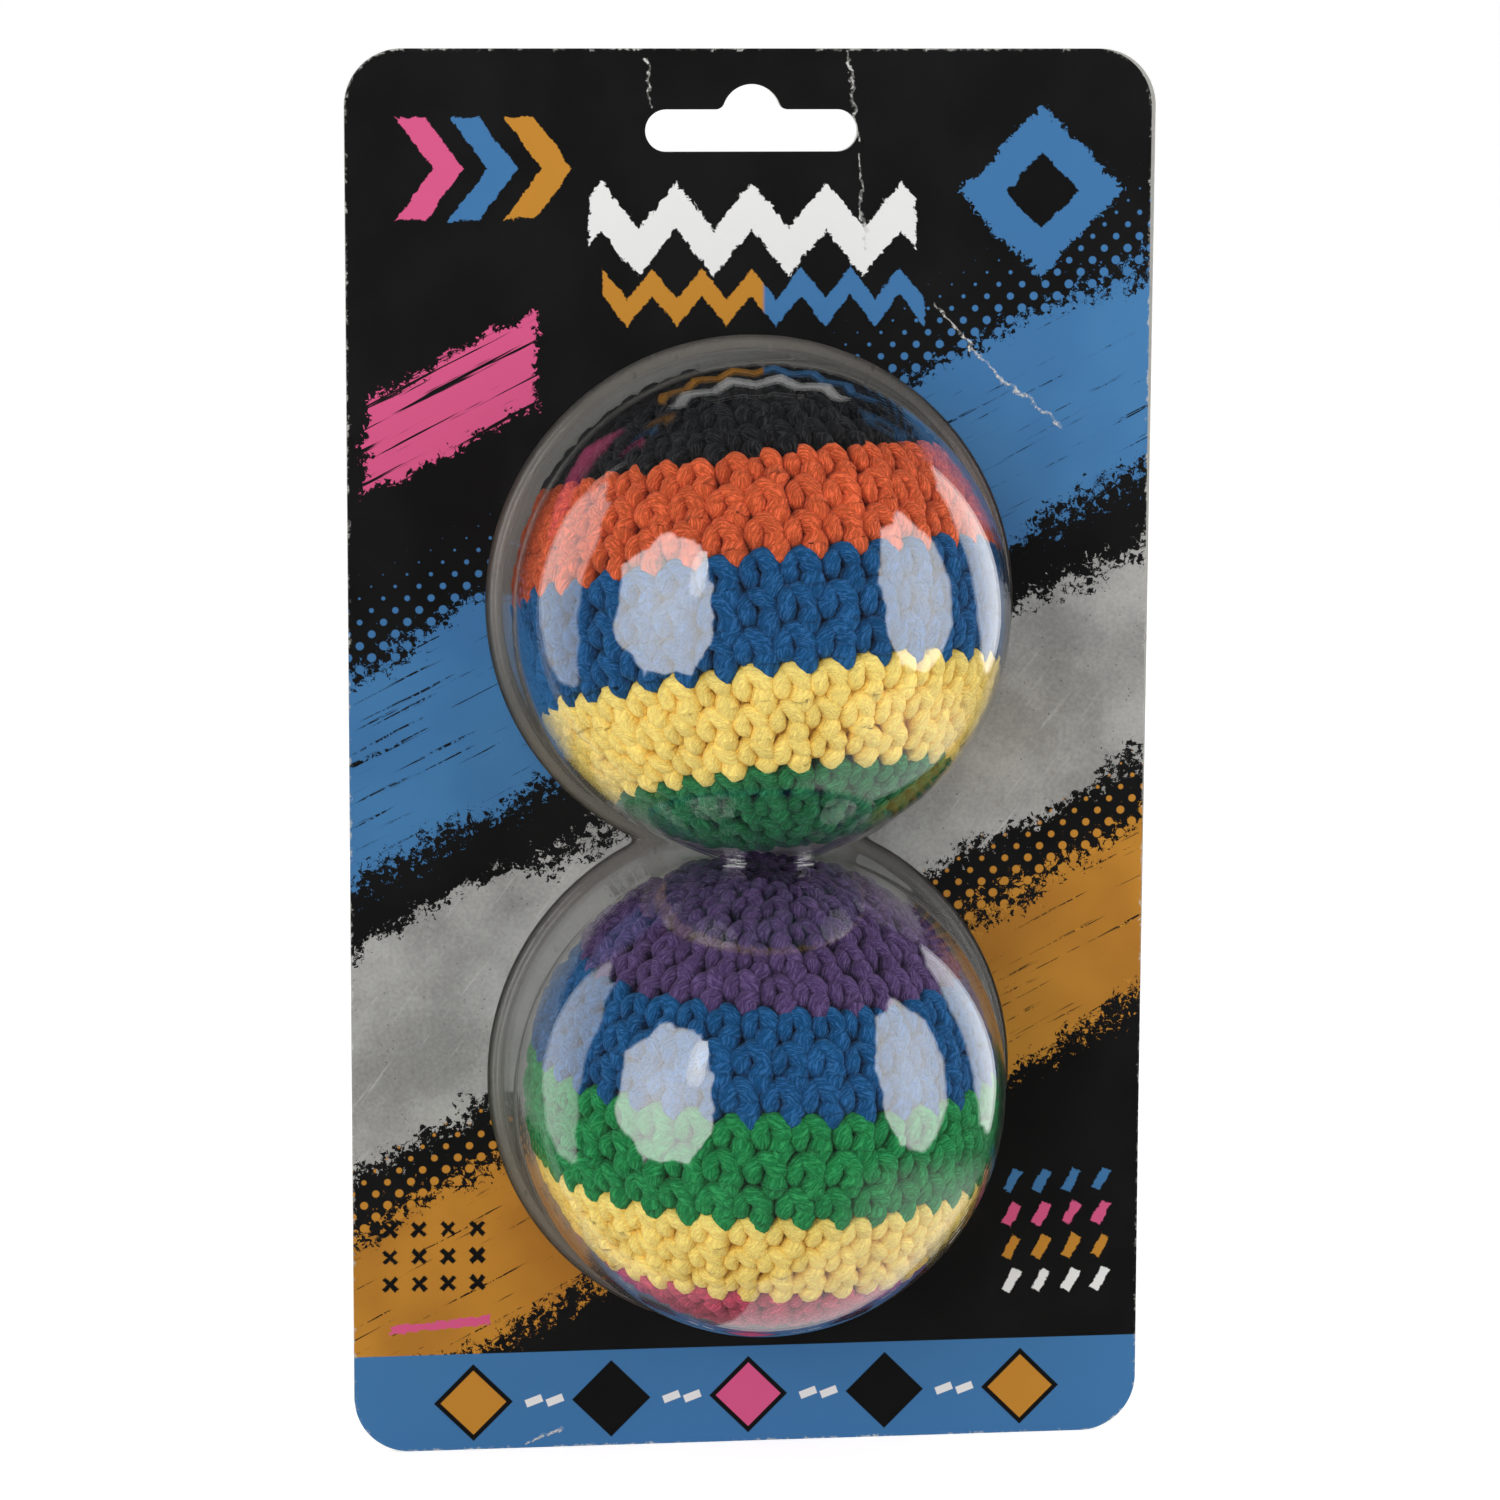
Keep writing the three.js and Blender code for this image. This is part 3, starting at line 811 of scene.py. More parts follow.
def board(name, outlines, near, far):
    """A flat board with softened edges, from outlines in x and z, between two depths."""
    bevel = 0.06
    curve = bpy.data.curves.new(name, "CURVE")
    curve.dimensions, curve.fill_mode = "2D", "BOTH"
    curve.extrude = ((far - near) / 2 - bevel) * MM
    curve.bevel_depth, curve.bevel_resolution, curve.offset = bevel * MM, 1, -bevel * MM
    for outline in outlines:
        spline = curve.splines.new("POLY")
        spline.points.add(len(outline) - 1)
        flat = np.zeros((len(outline), 4))
        flat[:, 0], flat[:, 1], flat[:, 3] = outline[:, 0] * MM, outline[:, 1] * MM, 1
        spline.points.foreach_set("co", flat.ravel())
        spline.use_cyclic_u = True
    drawn = placed(name + "_outline", curve)
    mesh = evaluated_mesh(drawn)
    bpy.data.objects.remove(drawn)
    stand = Matrix(((1, 0, 0, 0), (0, 0, -1, (near + far) / 2 * MM), (0, 1, 0, 0), (0, 0, 0, 1)))
    mesh.transform(stand)
    mesh.polygons.foreach_set("use_smooth", np.zeros(len(mesh.polygons), bool))
    mesh.name = name
    return placed(name, mesh)


class Print(Nodes):
    """The front board's print, drawn from distances in millimetres. v is up from the board's centre."""

    def begin(self):
        self.place = self.object_mm()
        parts = self.separate(self.place)
        self.x, self.y = parts[0], parts[1]
        self.v = self.minus(parts[2], (CARD_TOP + CARD_BOTTOM) / 2)
        self.broad = self.noise(self.place, 0.06, 2.0, 0.5)
        self.middle = self.noise(self.place, 0.30, 3.0, 0.6)
        self.small = self.noise(self.place, 1.1, 3.0, 0.65, 0.8)
        self.fine = self.noise(self.place, 4.0, 2.0, 0.5)

    def swing(self, noise, reach):
        return self.scaled(noise, 2 * reach, -reach)

    def ragged(self, distance, broad, middle, small):
        """Inside of an edge: distance is under zero there. The edge wanders by three kinds of noise."""
        for noise, reach in ((self.broad, broad), (self.middle, middle), (self.small, small)):
            if reach:
                distance = self.plus(distance, self.swing(noise, reach))
        return self.ease(distance, 0.10, -0.10)

    def turned(self, angle, x=0.0, v=0.0):
        """Places along and across a line at an angle in degrees through a point."""
        c, s = math.cos(math.radians(angle)), math.sin(math.radians(angle))
        dx, dv = self.minus(self.x, x), self.minus(self.v, v)
        along = self.scaled(dx, c, self.times(dv, s))
        across = self.scaled(dx, -s, self.times(dv, c))
        return along, across

    def band(self, place, low, high):
        """Distance outside a stretch between two places."""
        return self.minus(self.apart(place, (low + high) / 2), (high - low) / 2)

    def box(self, angle, x, v, length, width):
        along, across = self.turned(angle, x, v)
        past_ends = self.band(along, -length / 2, length / 2)
        return self.most(past_ends, self.band(across, -width / 2, width / 2))

    def diamond(self, x, v, reach):
        far = self.plus(self.apart(self.x, x), self.apart(self.v, v))
        return self.times(self.minus(far, reach), math.sqrt(0.5))

    def zigzag(self, v, height, period, width, left, right):
        share = self.maths("FRACT", self.maths("DIVIDE", self.x, period))
        tooth = self.times(self.apart(share, 0.5), 4 * height)
        off = self.apart(self.minus(self.v, v - height), tooth)
        slant = math.cos(math.atan(4 * height / period))
        line = self.minus(self.times(off, slant), width / 2)
        return self.most(line, self.band(self.x, left, right))

    def flecks(self, distance, reach):
        """Small splashes outside an edge, fewer the further out they lie."""
        limit = self.ease(distance, 0.0, reach, 0.53, 0.74)
        spray = self.noise(self.place, 0.85, 4.0, 0.75, 0.4)
        near = self.ease(distance, reach, reach * 0.9)
        return self.times(self.ease(self.minus(spray, limit), 0.0, 0.01), near)

    def dots(self, angle, pitch, radius):
        """Round dots on a turned grid. The radius may vary from place to place."""
        along, across = self.turned(angle)
        cells = []
        for place in (along, across):
            share = self.maths("FRACT", self.maths("DIVIDE", place, pitch))
            cells.append(self.times(self.minus(share, 0.5), pitch))
        return self.ease(self.minus(self.length(*cells), radius), 0.08, -0.08)

    def crack(self, start, end, width):
        """A thin broken line between two places."""
        (x0, v0), (x1, v1) = start, end
        length = math.hypot(x1 - x0, v1 - v0)
        angle = math.degrees(math.atan2(v1 - v0, x1 - x0))
        along, across = self.turned(angle, x0, v0)
        across = self.plus(across, self.swing(self.middle, 1.6))
        across = self.plus(across, self.swing(self.small, 0.35))
        past = self.most(self.band(along, 0, length), 0.0)
        off = self.plus(self.maths("ABSOLUTE", across), past)
        thick = self.ease(self.small, 0.42, 0.62, 0.15, 1.0)
        return self.times(self.ease(off, width, width * 0.25), thick)


PRINT_BLACK = (0.0055, 0.0055, 0.0055)
PRINT_BLUE = (0.050, 0.175, 0.385)
PRINT_AMBER = (0.52, 0.23, 0.028)
PRINT_PINK = (0.66, 0.095, 0.235)
PRINT_WHITE = (0.78, 0.78, 0.77)
PAPER = (0.62, 0.61, 0.58)

# Slanted bands by their places across the slant in millimetres, each with two tones of its colour
BANDS = (
    (12.0, 38.0, PRINT_BLUE, (0.058, 0.20, 0.42)),
    (-60.0, -38.0, PRINT_AMBER, (0.42, 0.175, 0.022)),
)
STONE_BAND = (-27.0, 0.0)

# Creases: from and to in millimetres on the board, and half a width
CRACKS = [
    ((14.2, 105.0), (15.8, 92.0), 0.30), ((15.8, 90.0), (17.2, 76.0), 0.24),
    ((-16.0, 104.0), (-14.5, 97.0), 0.22), ((27.5, 68.0), (36.5, 57.5), 0.26),
    ((36.5, 57.5), (47.0, 49.5), 0.34), ((-34.0, -104.8), (-28.5, -102.5), 0.4),
]


def concrete(n):
    cloud = n.noise(n.place, 0.05, 5.0, 0.6)
    grain = n.noise(n.place, 1.6, 3.0, 0.7)
    grey = n.plus(n.ease(cloud, 0.3, 0.7, 0.27, 0.46), n.swing(grain, 0.10))
    specks = n.voronoi(n.place, 0.9).outputs["Distance"]
    dark = n.times(n.ease(specks, 0.16, 0.08), n.ease(n.middle, 0.45, 0.6))
    grey = n.times(grey, n.scaled(dark, -0.55, 1.0))
    along, across = n.turned(52.0)
    scratch = n.streaks(along, 0.05, across, 0.9, 3.0, 0.6)
    grey = n.plus(grey, n.ease(scratch, 0.60, 0.72, 0.0, 0.12))
    return n.combine(grey, n.times(grey, 0.99), n.times(grey, 0.95))


def paint_bands(n, print_colour, across, brush):
    """Two slanted brush bands with dots and splashes along them, and a slab of concrete between."""
    dry = n.ease(brush, 0.34, 0.40)
    for low, high, tone, other_tone in BANDS:
        edge = n.band(across, low, high)
        above = n.minus(across, high + 2.0)
        dots = n.dots(45.0, 2.5, n.ease(above, 13.0, 0.0, 0.0, 0.66))
        dots = n.times(dots, n.times(n.ease(above, 13.0, 12.0), n.ease(above, -3.0, -2.0)))
        print_colour = n.mix(dots, print_colour, tone)
        print_colour = n.mix(n.flecks(edge, 8.0), print_colour, tone)
        body = n.times(n.ragged(edge, 5.0, 3.0, 5.0), dry)
        print_colour = n.mix(body, print_colour, n.mix(n.ease(n.broad, 0.35, 0.65), tone, other_tone))
    stone = n.band(across, *STONE_BAND)
    slab = concrete(n)
    print_colour = n.mix(n.flecks(stone, 7.0), print_colour, slab)
    return n.mix(n.ragged(stone, 6.0, 4.0, 5.0), print_colour, slab)


def paint_top(n, print_colour, across, brush):
    """A brush stroke, a diamond, three chevrons and two zigzag lines in the upper part of the board."""
    bar = n.most(n.band(across, 62.0, 74.0), n.plus(n.x, 32.0), n.minus(-57.5, n.x))
    stroke = n.times(n.ragged(bar, 1.5, 2.5, 3.0), n.ease(brush, 0.38, 0.43))
    print_colour = n.mix(stroke, print_colour, PRINT_PINK)
    diamond_x, diamond_v = 43.5, 84.5
    outer = n.ragged(n.diamond(diamond_x, diamond_v, 12.5), 1.5, 1.5, 1.8)
    inner = n.ragged(n.diamond(diamond_x, diamond_v, 5.5), 0.5, 0.8, 0.5)
    print_colour = n.mix(inner, n.mix(outer, print_colour, PRINT_BLUE), PRINT_BLACK)
    fold = n.apart(n.v, 88.0)
    for index, tone in enumerate((PRINT_PINK, PRINT_BLUE, PRINT_AMBER)):
        point = n.minus(n.x, -47.0 + 8.0 * index)
        point = n.plus(point, n.times(fold, 0.75))
        shape = n.most(n.band(point, 0.0, 4.4), n.minus(fold, 7.5))
        print_colour = n.mix(n.ragged(shape, 0.3, 0.6, 0.6), print_colour, tone)
    white_line = n.zigzag(79.0, 3.4, 11.2, 4.4, -24.0, 24.5)
    print_colour = n.mix(n.ragged(white_line, 0.3, 0.6, 0.9), print_colour, PRINT_WHITE)
    low_line = n.ragged(n.zigzag(69.0, 2.3, 7.4, 2.5, -22.2, 25.9), 0.2, 0.4, 0.5)
    half_tone = n.mix(n.ease(n.x, 1.5, 2.2), PRINT_AMBER, PRINT_BLUE)
    return n.mix(low_line, print_colour, half_tone)


def paint_marks(n, print_colour):
    """Rows of ticks at the lower right, rows of crosses and a short stroke at the lower left."""
    for index, tone in enumerate((PRINT_BLUE, PRINT_PINK, PRINT_AMBER, PRINT_WHITE)):
        for step in range(4):
            tick = n.box(62.0, 40.5 + 4.6 * step, -66.0 - 5.2 * index, 3.6, 1.5)
            print_colour = n.mix(n.ragged(tick, 0.2, 0.4, 0.4), print_colour, tone)
    for row in range(3):
        for index in range(4):
            spot = (-54.5 + 4.4 * index, -79.5 + 4.2 * row)
            cross = n.least(n.box(45.0, *spot, 2.8, 0.75), n.box(-45.0, *spot, 2.8, 0.75))
            print_colour = n.mix(n.ragged(cross, 0.0, 0.25, 0.25), print_colour, PRINT_BLACK)
    sweep = n.box(5.0, -47.0, -86.0, 15.0, 1.2)
    return n.mix(n.ragged(sweep, 0.2, 0.5, 0.8), print_colour, PRINT_PINK)


def paint_foot(n, print_colour):
    """The strip along the bottom, with five diamonds and dashes between them."""
    row, top = -98.2, -90.6
    foot = n.ease(n.minus(n.v, top), 0.05, -0.05)
    print_colour = n.mix(foot, print_colour, PRINT_BLUE)
    for index, tone in enumerate((PRINT_AMBER, PRINT_BLACK, PRINT_PINK, PRINT_BLACK, PRINT_AMBER)):
        x = -42.0 + 21.0 * index
        for reach, paint in ((6.0, PRINT_BLACK), (5.0, tone)):
            print_colour = n.mix(n.ease(n.diamond(x, row, reach), 0.06, -0.06), print_colour, paint)
        if index < 4:
            dashes = [n.box(20.0, x + step, row, 2.6, 1.2) for step in (9.2, 12.4)]
            dashes = n.ease(n.least(*dashes), 0.06, -0.06)
            print_colour = n.mix(dashes, print_colour, PRINT_WHITE)
    return print_colour


def printed_wear(n):
    """Creases, and paper that shows where the board's rim is rubbed."""
    wear = n.most(*[n.crack(*crack) for crack in CRACKS])
    rim_x = n.minus(n.maths("ABSOLUTE", n.x), CARD_WIDTH / 2 - CORNER_RADIUS)
    rim_v = n.minus(n.maths("ABSOLUTE", n.v), (CARD_TOP - CARD_BOTTOM) / 2 - CORNER_RADIUS)
    inside = n.least(n.most(rim_x, rim_v), 0.0)
    round_off = n.length(n.most(rim_x, 0.0), n.most(rim_v, 0.0))
    rim = n.minus(n.most(inside, round_off), CORNER_RADIUS)
    rubbed = n.plus(rim, n.swing(n.small, 1.1))
    rubbed = n.times(n.ease(rubbed, -0.25, 0.1), n.ease(n.middle, 0.42, 0.6))
    return n.most(wear, n.times(rubbed, 0.7))


def printed_material():
    material, n = new_material("printed_board", Print)
    n.begin()
    along, across = n.turned(27.0)
    print_colour = n.mix(n.ease(n.broad, 0.3, 0.7), PRINT_BLACK, (0.0085, 0.0085, 0.0088))
    brush = n.streaks(along, 0.035, across, 1.1, 3.0, 0.65)
    print_colour = paint_bands(n, print_colour, across, brush)
    print_colour = paint_top(n, print_colour, across, brush)
    print_colour = paint_foot(n, paint_marks(n, print_colour))
    wear = printed_wear(n)
    print_colour = n.mix(wear, print_colour, PAPER)
    # The print ends on the softened edge, and the cut behind it is bare paper
    front = n.ease(n.y, FRONT_Y + 0.075, FRONT_Y + 0.045)
    fibre = n.noise(n.place, 6.0, 2.0, 0.6)
    paper = n.mix(n.ease(fibre, 0.35, 0.65), (0.50, 0.49, 0.46), (0.68, 0.67, 0.64))
    colour = n.mix(front, paper, print_colour)
    gloss = n.ease(n.middle, 0.3, 0.7, 0.42, 0.47)
    rough = n.most(gloss, n.times(wear, 0.85), n.scaled(front, -0.85, 0.85))
    sway = n.noise(n.place, 0.035, 1.0)
    height = n.plus(n.times(sway, 1.6), n.times(n.fine, 0.010))
    height = n.plus(height, n.times(wear, 0.12))
    n.surface(colour, rough, n.bump(height, 0.6, 0.001), Specular_IOR_Level=0.15)
    return material


def plain_board_material():
    material, n = new_material("plain_board")
    place = n.object_mm()
    cloud, grain = n.noise(place, 0.08, 4.0, 0.6), n.noise(place, 2.2, 3.0, 0.7)
    colour = n.mix(n.ease(cloud, 0.25, 0.75), (0.46, 0.455, 0.43), (0.49, 0.485, 0.46))
    colour = n.mix(n.ease(grain, 0.4, 0.62, 0.0, 0.30), colour, (0.36, 0.35, 0.33))
    for size, reach, tone in ((0.42, 0.15, (0.22, 0.20, 0.17)), (0.33, 0.12, (0.66, 0.65, 0.61))):
        shape = n.vector("MULTIPLY", place, (1.0, 1.0, 0.45))
        flecks = n.voronoi(shape, size).outputs["Distance"]
        colour = n.mix(n.ease(flecks, reach, reach * 0.5, 0.0, 0.45), colour, tone)
    streaks = n.noise(n.vector("MULTIPLY", place, (0.12, 1.0, 1.4)), 1.0, 3.0)
    height = n.plus(n.times(grain, 0.5), n.times(streaks, 0.5))
    rough = n.ease(grain, 0.3, 0.7, 0.68, 0.82)
    n.surface(colour, rough, n.bump(height, 0.5, 0.00008), Specular_IOR_Level=0.35)
    return material


def seal_material():
    material, n = new_material("seal_coat")
    place = n.object_mm()
    grain = n.noise(place, 1.5, 3.0)
    colour = n.mix(n.ease(grain, 0.35, 0.65), (0.60, 0.59, 0.55), (0.74, 0.73, 0.70))
    n.surface(colour, n.ease(grain, 0.3, 0.7, 0.5, 0.65), n.bump(grain, 0.4, 0.00006))
    return material


left, right = -CARD_WIDTH / 2, CARD_WIDTH / 2
window = window_outline(BASE_RADIUS + WINDOW_GAP, WINDOW_CORNER)
front_outlines = [board_outline(left, right), slot_outline(), window]
front_board = board("printed_front_board", front_outlines, FRONT_Y, SEAL_Y)
dress(front_board, "pack", "printed_board", printed_material(), "front_card")
back_outlines = [board_outline(left, right + OVERHANG, OVERHANG), slot_outline()]
back_board = board("plain_back_board", back_outlines, BACK_BOARD_Y, BACK_BOARD_Y + BOARD)
dress(back_board, "pack", "plain_board", plain_board_material(), "back_card")
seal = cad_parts["seal_layer"]
seal.data.materials.clear()
seal.data.materials.append(seal_material())


# Clear blister

# The step round a dome's foot and the bend into the flange: places out from its axis, up from the board
STEP_SECTION = np.array([
    (38.03, 1.93), (38.12, 1.73), (38.27, 1.58), (38.48, 1.50), (38.70, 1.45), (38.92, 1.38),
    (39.10, 1.27), (39.24, 1.10), (39.32, 0.88), (39.35, 0.62), (39.35, 0.10), (39.36, -0.20),
    (39.42, -0.38), (39.55, -0.50), (39.75, -0.55), (BASE_RADIUS + FLANGE, -0.55),
])


def dome_section():
    """Half section of a dome's outside: places out from its axis and up from the front board."""
    top, side = (np.linspace(*part, endpoint=False) for part in ((90, 24, 24), (24, 0, 26)))
    cap = np.radians(np.concatenate([top, side]))
    points = [np.stack([DOME_RADIUS * np.cos(cap), WALL_HEIGHT + DOME_RADIUS * np.sin(cap)], axis=1)]
    share = np.linspace(0, 1, 16)
    foot = STEP_HEIGHT + STEP_RISE + 0.45
    out = DOME_RADIUS + (FOOT_RADIUS - DOME_RADIUS) * share**1.5
    points.append(np.stack([out, WALL_HEIGHT + (foot - WALL_HEIGHT) * share], axis=1))
    points.append(STEP_SECTION)
    section = np.concatenate(points)
    section[0, 0] = 0.0
    return section


def dome_points():
    """The upper dome and its flange, cut where it meets the lower one, and its rings and turns."""
    section = dome_section()
    half = SPACING / 2
    near = np.radians(np.linspace(-42, 42, 113))
    far = np.radians(np.linspace(42, 318, 121))[1:-1]
    turn = np.concatenate([near, far]) - math.pi / 2
    toward = -np.sin(turn)
    facing = toward > 0.3
    out = np.repeat(section[:, 0][:, None], len(turn), axis=1)
    high = np.repeat(section[:, 1][:, None], len(turn), axis=1)
    limit = np.where(facing, half / np.maximum(toward, 0.3), math.inf)
    for column in np.nonzero(limit < section[-1, 0])[0]:
        cut = limit[column]
        at = np.searchsorted(section[:, 0], cut, side="right")
        share = (cut - section[at - 1, 0]) / (section[at, 0] - section[at - 1, 0])
        level = section[at - 1, 1] + share * (section[at, 1] - section[at - 1, 1])
        past = section[:, 0] > cut
        out[past, column], high[past, column] = cut, level
    high += np.where(facing, neck_lift(section, out, high, half - out * toward), 0)
    x, z = out * np.cos(turn), out * np.sin(turn)
    points = np.stack([x, FRONT_Y - high, z + UPPER_Z], -1).reshape(-1, 3)
    return points, len(section), len(turn)


def neck_lift(section, out, high, gap):
    """How much the valley between the domes is filled, so that it is eased and not a sharp fold."""
    reach = 1.5
    wall = section[: len(section) - len(STEP_SECTION)]
    slope = np.interp(out, wall[:, 0], np.clip(-np.gradient(wall[:, 1], wall[:, 0]), 0, 6))
    lift = slope * reach / 2 * np.clip(1 - np.clip(gap, 0, None) / reach, 0, 1) ** 2
    return lift * np.clip((high - 2.2) / 3.0, 0, 1)


def dented(points):
    """The domes with slow waves of about a tenth of a millimetre, fading out toward their feet."""
    chance = np.random.default_rng(5)
    front = np.clip((FRONT_Y - 3 - points[:, 1]) / 6, 0, 1)
    waves = np.zeros(len(points))
    for _ in range(14):
        way = chance.normal(0, 1, 3)
        way *= 2 * math.pi / chance.uniform(14, 34) / np.linalg.norm(way)
        waves += np.sin(points @ way + chance.uniform(0, 6.28))
    outward = points - np.array([0, FRONT_Y - WALL_HEIGHT, 0])
    outward[:, 2] -= np.where(points[:, 2] > NECK_Z, UPPER_Z, UPPER_Z - SPACING)
    outward[:, 2] *= np.clip(np.abs(points[:, 2] - NECK_Z) / 4, 0, 1)
    outward /= np.maximum(np.linalg.norm(outward, axis=1, keepdims=True), 1e-9)
    return points - outward * (front * (0.06 + 0.012 * waves))[:, None]


def make_blister():
    upper, rings, turns = dome_points()
    lower = upper.copy()
    lower[:, 2] = 2 * NECK_Z - lower[:, 2]
    grid = closed_grid(rings, turns)
    quads = np.concatenate([grid[:, ::-1], grid + rings * turns])
    sheet = mesh_object("clear_blister", dented(np.concatenate([upper, lower])), quads)
    weld(sheet, 0.0005)
    dress(thickened(sheet, SHEET, -1.0), "pack", "clear_sheet", clear_material(), "blister_shell")


def weld(thing, distance):
    """Joins points closer than a distance in millimetres, and drops faces that have no area left."""
    work = bmesh.new()
    work.from_mesh(thing.data)
    bmesh.ops.remove_doubles(work, verts=work.verts, dist=distance * MM)
    bmesh.ops.dissolve_degenerate(work, edges=work.edges, dist=distance * MM)
    bmesh.ops.recalc_face_normals(work, faces=work.faces)
    work.to_mesh(thing.data)
    work.free()
    thing.data.polygons.foreach_set("use_smooth", np.ones(len(thing.data.polygons), bool))


def clear_material():
    """Thin clear plastic: a face mirrors more the flatter it is looked at, and lets the rest through."""
    material, n = new_material("clear_sheet")
    place = n.object_mm()
    smear = n.noise(place, 0.08, 3.0, 0.6)
    dust = n.noise(place, 2.5, 2.0, 0.6)
    rough = n.plus(n.ease(smear, 0.4, 0.7, 0.02, 0.05), n.ease(dust, 0.66, 0.74, 0.0, 0.12))
    foot = n.ease(n.separate(place)[1], -3.4, -2.4)
    rough = n.scaled(foot, 0.22, rough)
    facing = n.add("ShaderNodeLayerWeight", {"Blend": 0.5}).outputs["Facing"]
    mirror = n.scaled(n.maths("POWER", facing, 5.0), 0.955, 0.045)
    mirror = n.times(mirror, n.scaled(foot, -0.5, 1.0))
    tint = n.mix(n.ease(facing, 0.55, 1.0), (0.99, 0.993, 0.993), (0.74, 0.75, 0.76))
    # Painted shade: the foot lets through a darker, warm grey, which darkens the board seen behind it
    tint = n.mix(n.times(foot, 0.55), tint, (0.65, 0.63, 0.61))
    clear = n.add("ShaderNodeBsdfTransparent", {"Color": tint})
    shine = n.add("ShaderNodeBsdfAnisotropic", {"Color": WHITE, "Roughness": rough}, distribution="GGX")
    both = n.add("ShaderNodeMixShader", {0: mirror, 1: clear.outputs[0], 2: shine.outputs[0]})
    n.finish(both)
    return material


make_blister()


# Floor
FLOOR_Z = CARD_BOTTOM - 0.05
FLOOR_REACH = 60000.0
FLOOR_GLOW = 0.47


def floor_material():
    """Pale and plain. Camera, gloss and clear pieces see it lifted to white, less its shadows."""
    material, n = new_material("floor")
    grain = n.noise(n.object_mm(), 0.02, 2.0)
    colour = n.mix(n.ease(grain, 0.3, 0.7), (0.80, 0.80, 0.80), (0.82, 0.82, 0.82))
    shader = n.add("ShaderNodeBsdfDiffuse", {"Color": colour, "Roughness": 0.5})
    lifted = n.times(n.seen_rays(), FLOOR_GLOW)
    glow = n.add("ShaderNodeEmission", {"Color": WHITE, "Strength": lifted})
    both = n.add("ShaderNodeAddShader", {0: shader.outputs[0], 1: glow.outputs[0]})
    n.finish(both)
    return material


corners = [(x * FLOOR_REACH, y * FLOOR_REACH, FLOOR_Z) for x, y in ((-1, -1), (1, -1), (1, 1), (-1, 1))]
floor = mesh_object("floor", corners, [(0, 1, 2, 3)], smooth=False)
floor.data.materials.append(floor_material())
floor.visible_glossy = False


# Camera at the photograph's angle, in metres
CAMERA_PLACE = (-0.1031, -0.8047, 0.0216)
CAMERA_RIGHT = (0.9919, -0.1267, 0.0028)
CAMERA_UP = (0.016, 0.1465, 0.9891)
CAMERA_BACK = (-0.1258, -0.9811, 0.1473)
camera_data = bpy.data.cameras.new("camera")
camera_data.lens = 131.2
camera_data.sensor_width = 36.0
camera_data.clip_start, camera_data.clip_end = 0.01, 100.0
camera = placed("camera", camera_data)
rows = zip(CAMERA_RIGHT, CAMERA_UP, CAMERA_BACK, CAMERA_PLACE)
camera.matrix_world = Matrix((*rows, (0.0, 0.0, 0.0, 1.0)))
bpy.context.scene.camera = camera


# Light
SOFTBOX_STRENGTH = 3.1
SOFTBOX_TARGET = (0.0, -0.02, -0.11)


def softbox(name, place, width, height):
    """A soft light. Its reflection is drawn by the world, so the light itself is left out of gloss."""
    light = bpy.data.lights.new(name, "AREA")
    light.shape = "RECTANGLE"
    light.size, light.size_y = width, height
    light.energy = SOFTBOX_STRENGTH * width * height * math.pi
    thing = placed(name, light)
    thing.location = place
    thing.rotation_mode = "QUATERNION"
    thing.rotation_quaternion = (Vector(SOFTBOX_TARGET) - Vector(place)).to_track_quat("-Z", "Y")
    thing.visible_glossy = False
    thing.visible_camera = False
    thing.visible_transmission = False


softbox("left_softbox", (-1.05, -1.15, 0.1), 1.1, 1.3)
softbox("right_softbox", (1.35, -0.45, 0.15), 1.0, 1.3)


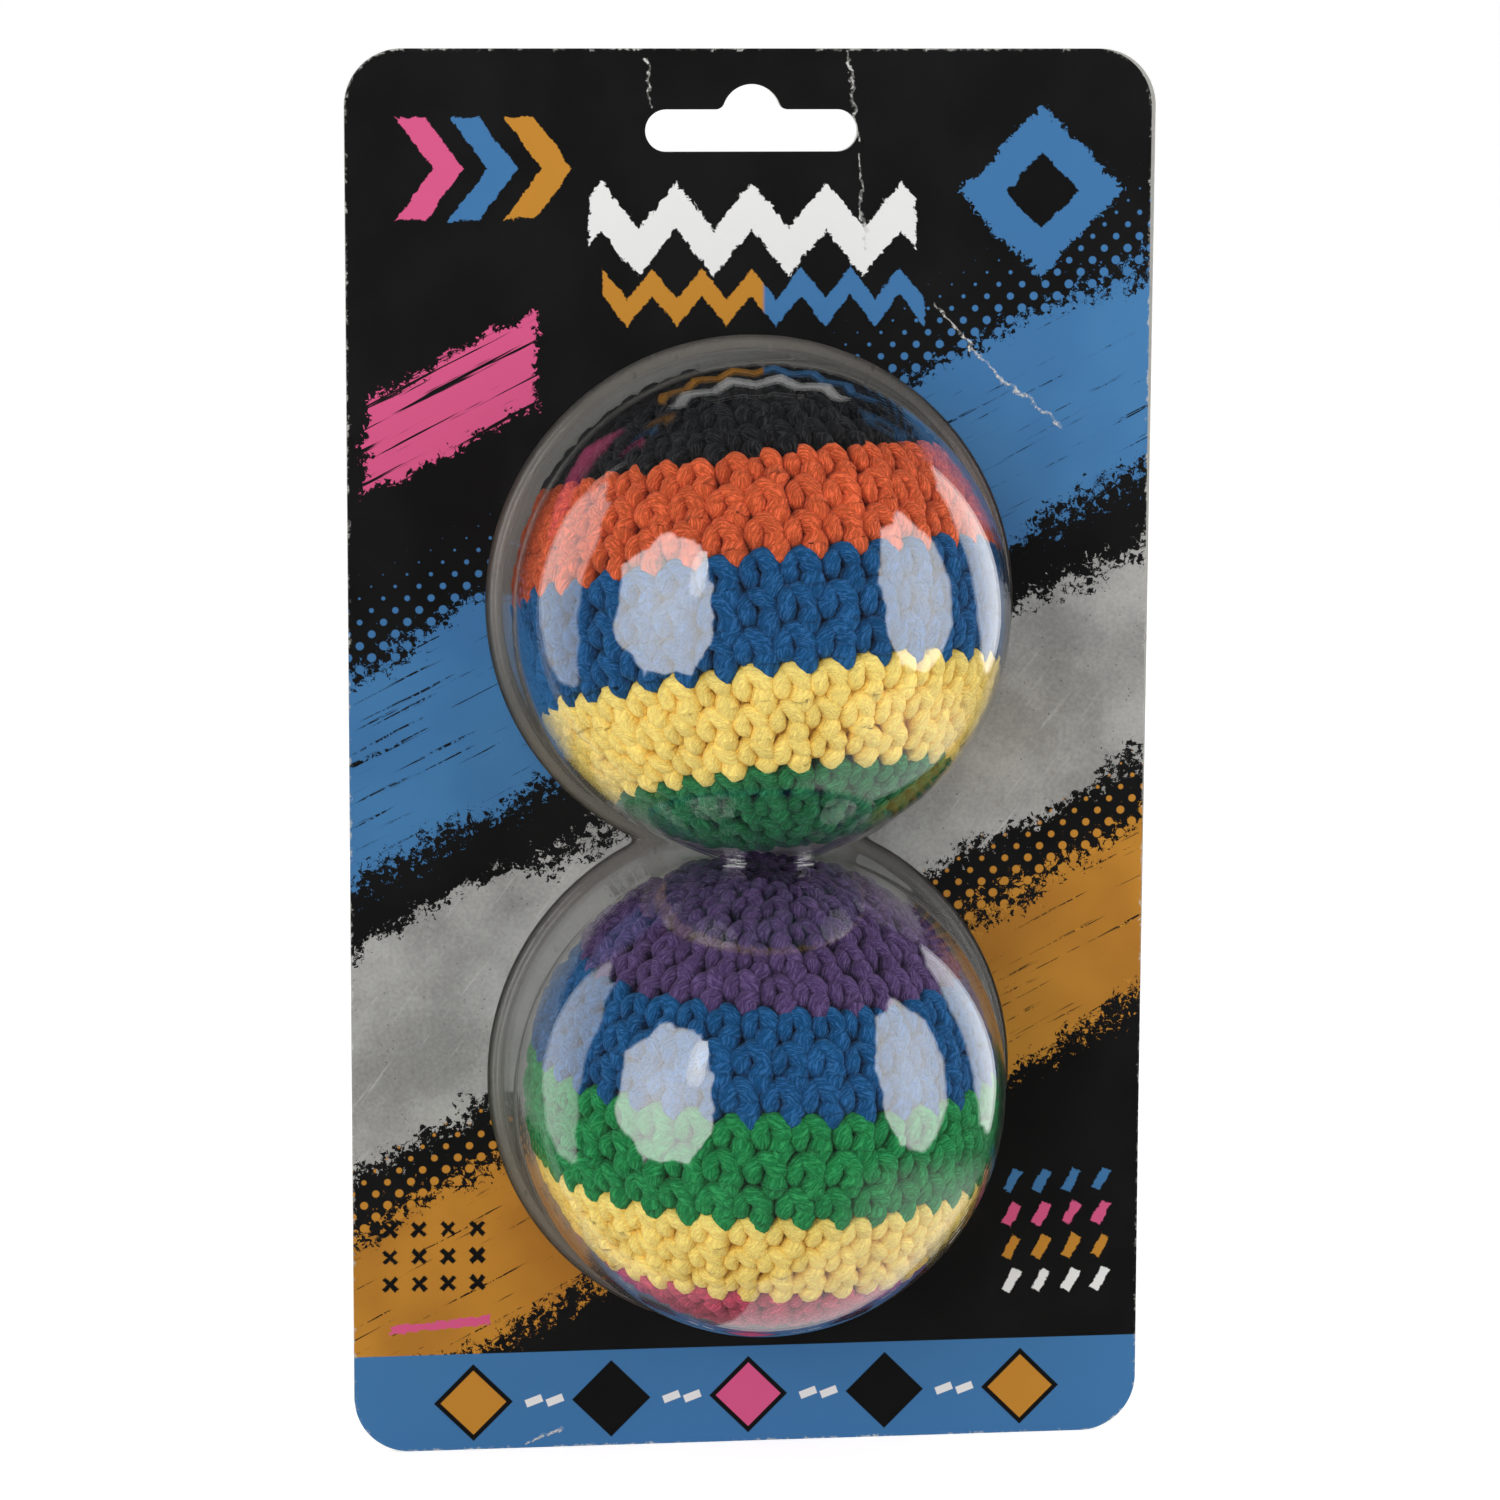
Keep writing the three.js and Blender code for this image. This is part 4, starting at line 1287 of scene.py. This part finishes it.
class Studio(Nodes):
    """The surroundings by direction: degrees to the right of the front, and degrees up."""

    def begin(self):
        parts = self.separate(self.add("ShaderNodeTexCoord").outputs["Generated"])
        ahead = self.times(parts[1], -1.0)
        self.side = self.maths("DEGREES", self.maths("ARCTAN2", parts[0], ahead))
        self.rise = self.maths("DEGREES", self.maths("ARCSINE", parts[2]))
        self.wave = self.noise(self.combine(*parts[:3]), 4.0, 2.0)

    def patch(self, side, rise, width, height, strength):
        """A lamp's cover: an oblong with cut corners and a slightly uneven edge."""
        x = self.maths("DIVIDE", self.apart(self.side, side), width / 2)
        y = self.maths("DIVIDE", self.apart(self.rise, rise), height / 2)
        cut = self.maths("DIVIDE", self.plus(x, y), 1.5)
        reach = self.plus(self.most(x, y, cut), self.scaled(self.wave, 0.5, -0.25))
        inner = self.ease(reach, 0.0, 1.0, 1.0, 0.85)
        edge = self.ease(reach, 1.03, 0.97, 0.0, strength)
        return self.times(edge, inner)


# Lamp covers: degrees to the right, degrees up, width, height and strength
PANELS = (
    (-54.0, 5.5, 46.0, 56.0, 4.8), (-40.0, 22.0, 9.0, 20.0, 7.0), (-116.0, 6.0, 32.0, 56.0, 2.1),
    (71.0, 8.0, 38.0, 52.0, 4.6), (125.0, 5.0, 29.0, 42.0, 2.4),
)
WORLD_LIGHT = 0.66


def mirrored_room(w):
    """What gloss sees: a dark room, pale walls at the sides, a pale table and the lamp covers."""
    room = w.ease(w.rise, 0.0, 60.0, 0.07, 0.04)
    far_left = w.times(w.ease(w.side, -125.0, -129.0), w.ease(w.rise, 44.0, 40.0))
    far_left = w.times(far_left, w.ease(w.rise, -5.0, 0.0, 0.45, 1.1))
    far_left = w.times(far_left, w.ease(w.side, -172.0, -135.0, 0.3, 1.0))
    far_right = w.times(w.ease(w.side, 138.0, 142.0), w.ease(w.rise, 38.0, 34.0, 0.0, 0.9))
    far_right = w.times(far_right, w.ease(w.side, 172.0, 145.0, 0.35, 1.0))
    table = w.times(w.ease(w.rise, -16.0, -34.0), w.ease(w.side, 30.0, 80.0, 0.10, 0.8))
    return w.most(room, table, far_left, far_right, *[w.patch(*panel) for panel in PANELS])


def make_world():
    """White to the camera and through clear pieces, the room to gloss, and a soft light to the rest."""
    world = bpy.data.worlds.new("studio")
    bpy.context.scene.world = world
    world.use_nodes = True
    w = Studio(world.node_tree)
    w.begin()
    gloss = mirrored_room(w)
    path = w.add("ShaderNodeLightPath").outputs
    direct = w.most(path["Is Camera Ray"], path["Is Transmission Ray"])
    plain = w.scaled(direct, 1.0 - WORLD_LIGHT, WORLD_LIGHT)
    by_ray = w.add("ShaderNodeMix", {0: path["Is Glossy Ray"], 2: plain, 3: gloss}, data_type="FLOAT")
    sky = w.add("ShaderNodeBackground", {"Color": WHITE, "Strength": by_ray.outputs[0]})
    w.add("ShaderNodeOutputWorld", {"Surface": sky.outputs[0]})


make_world()

bpy.context.scene.view_settings.view_transform = "Standard"
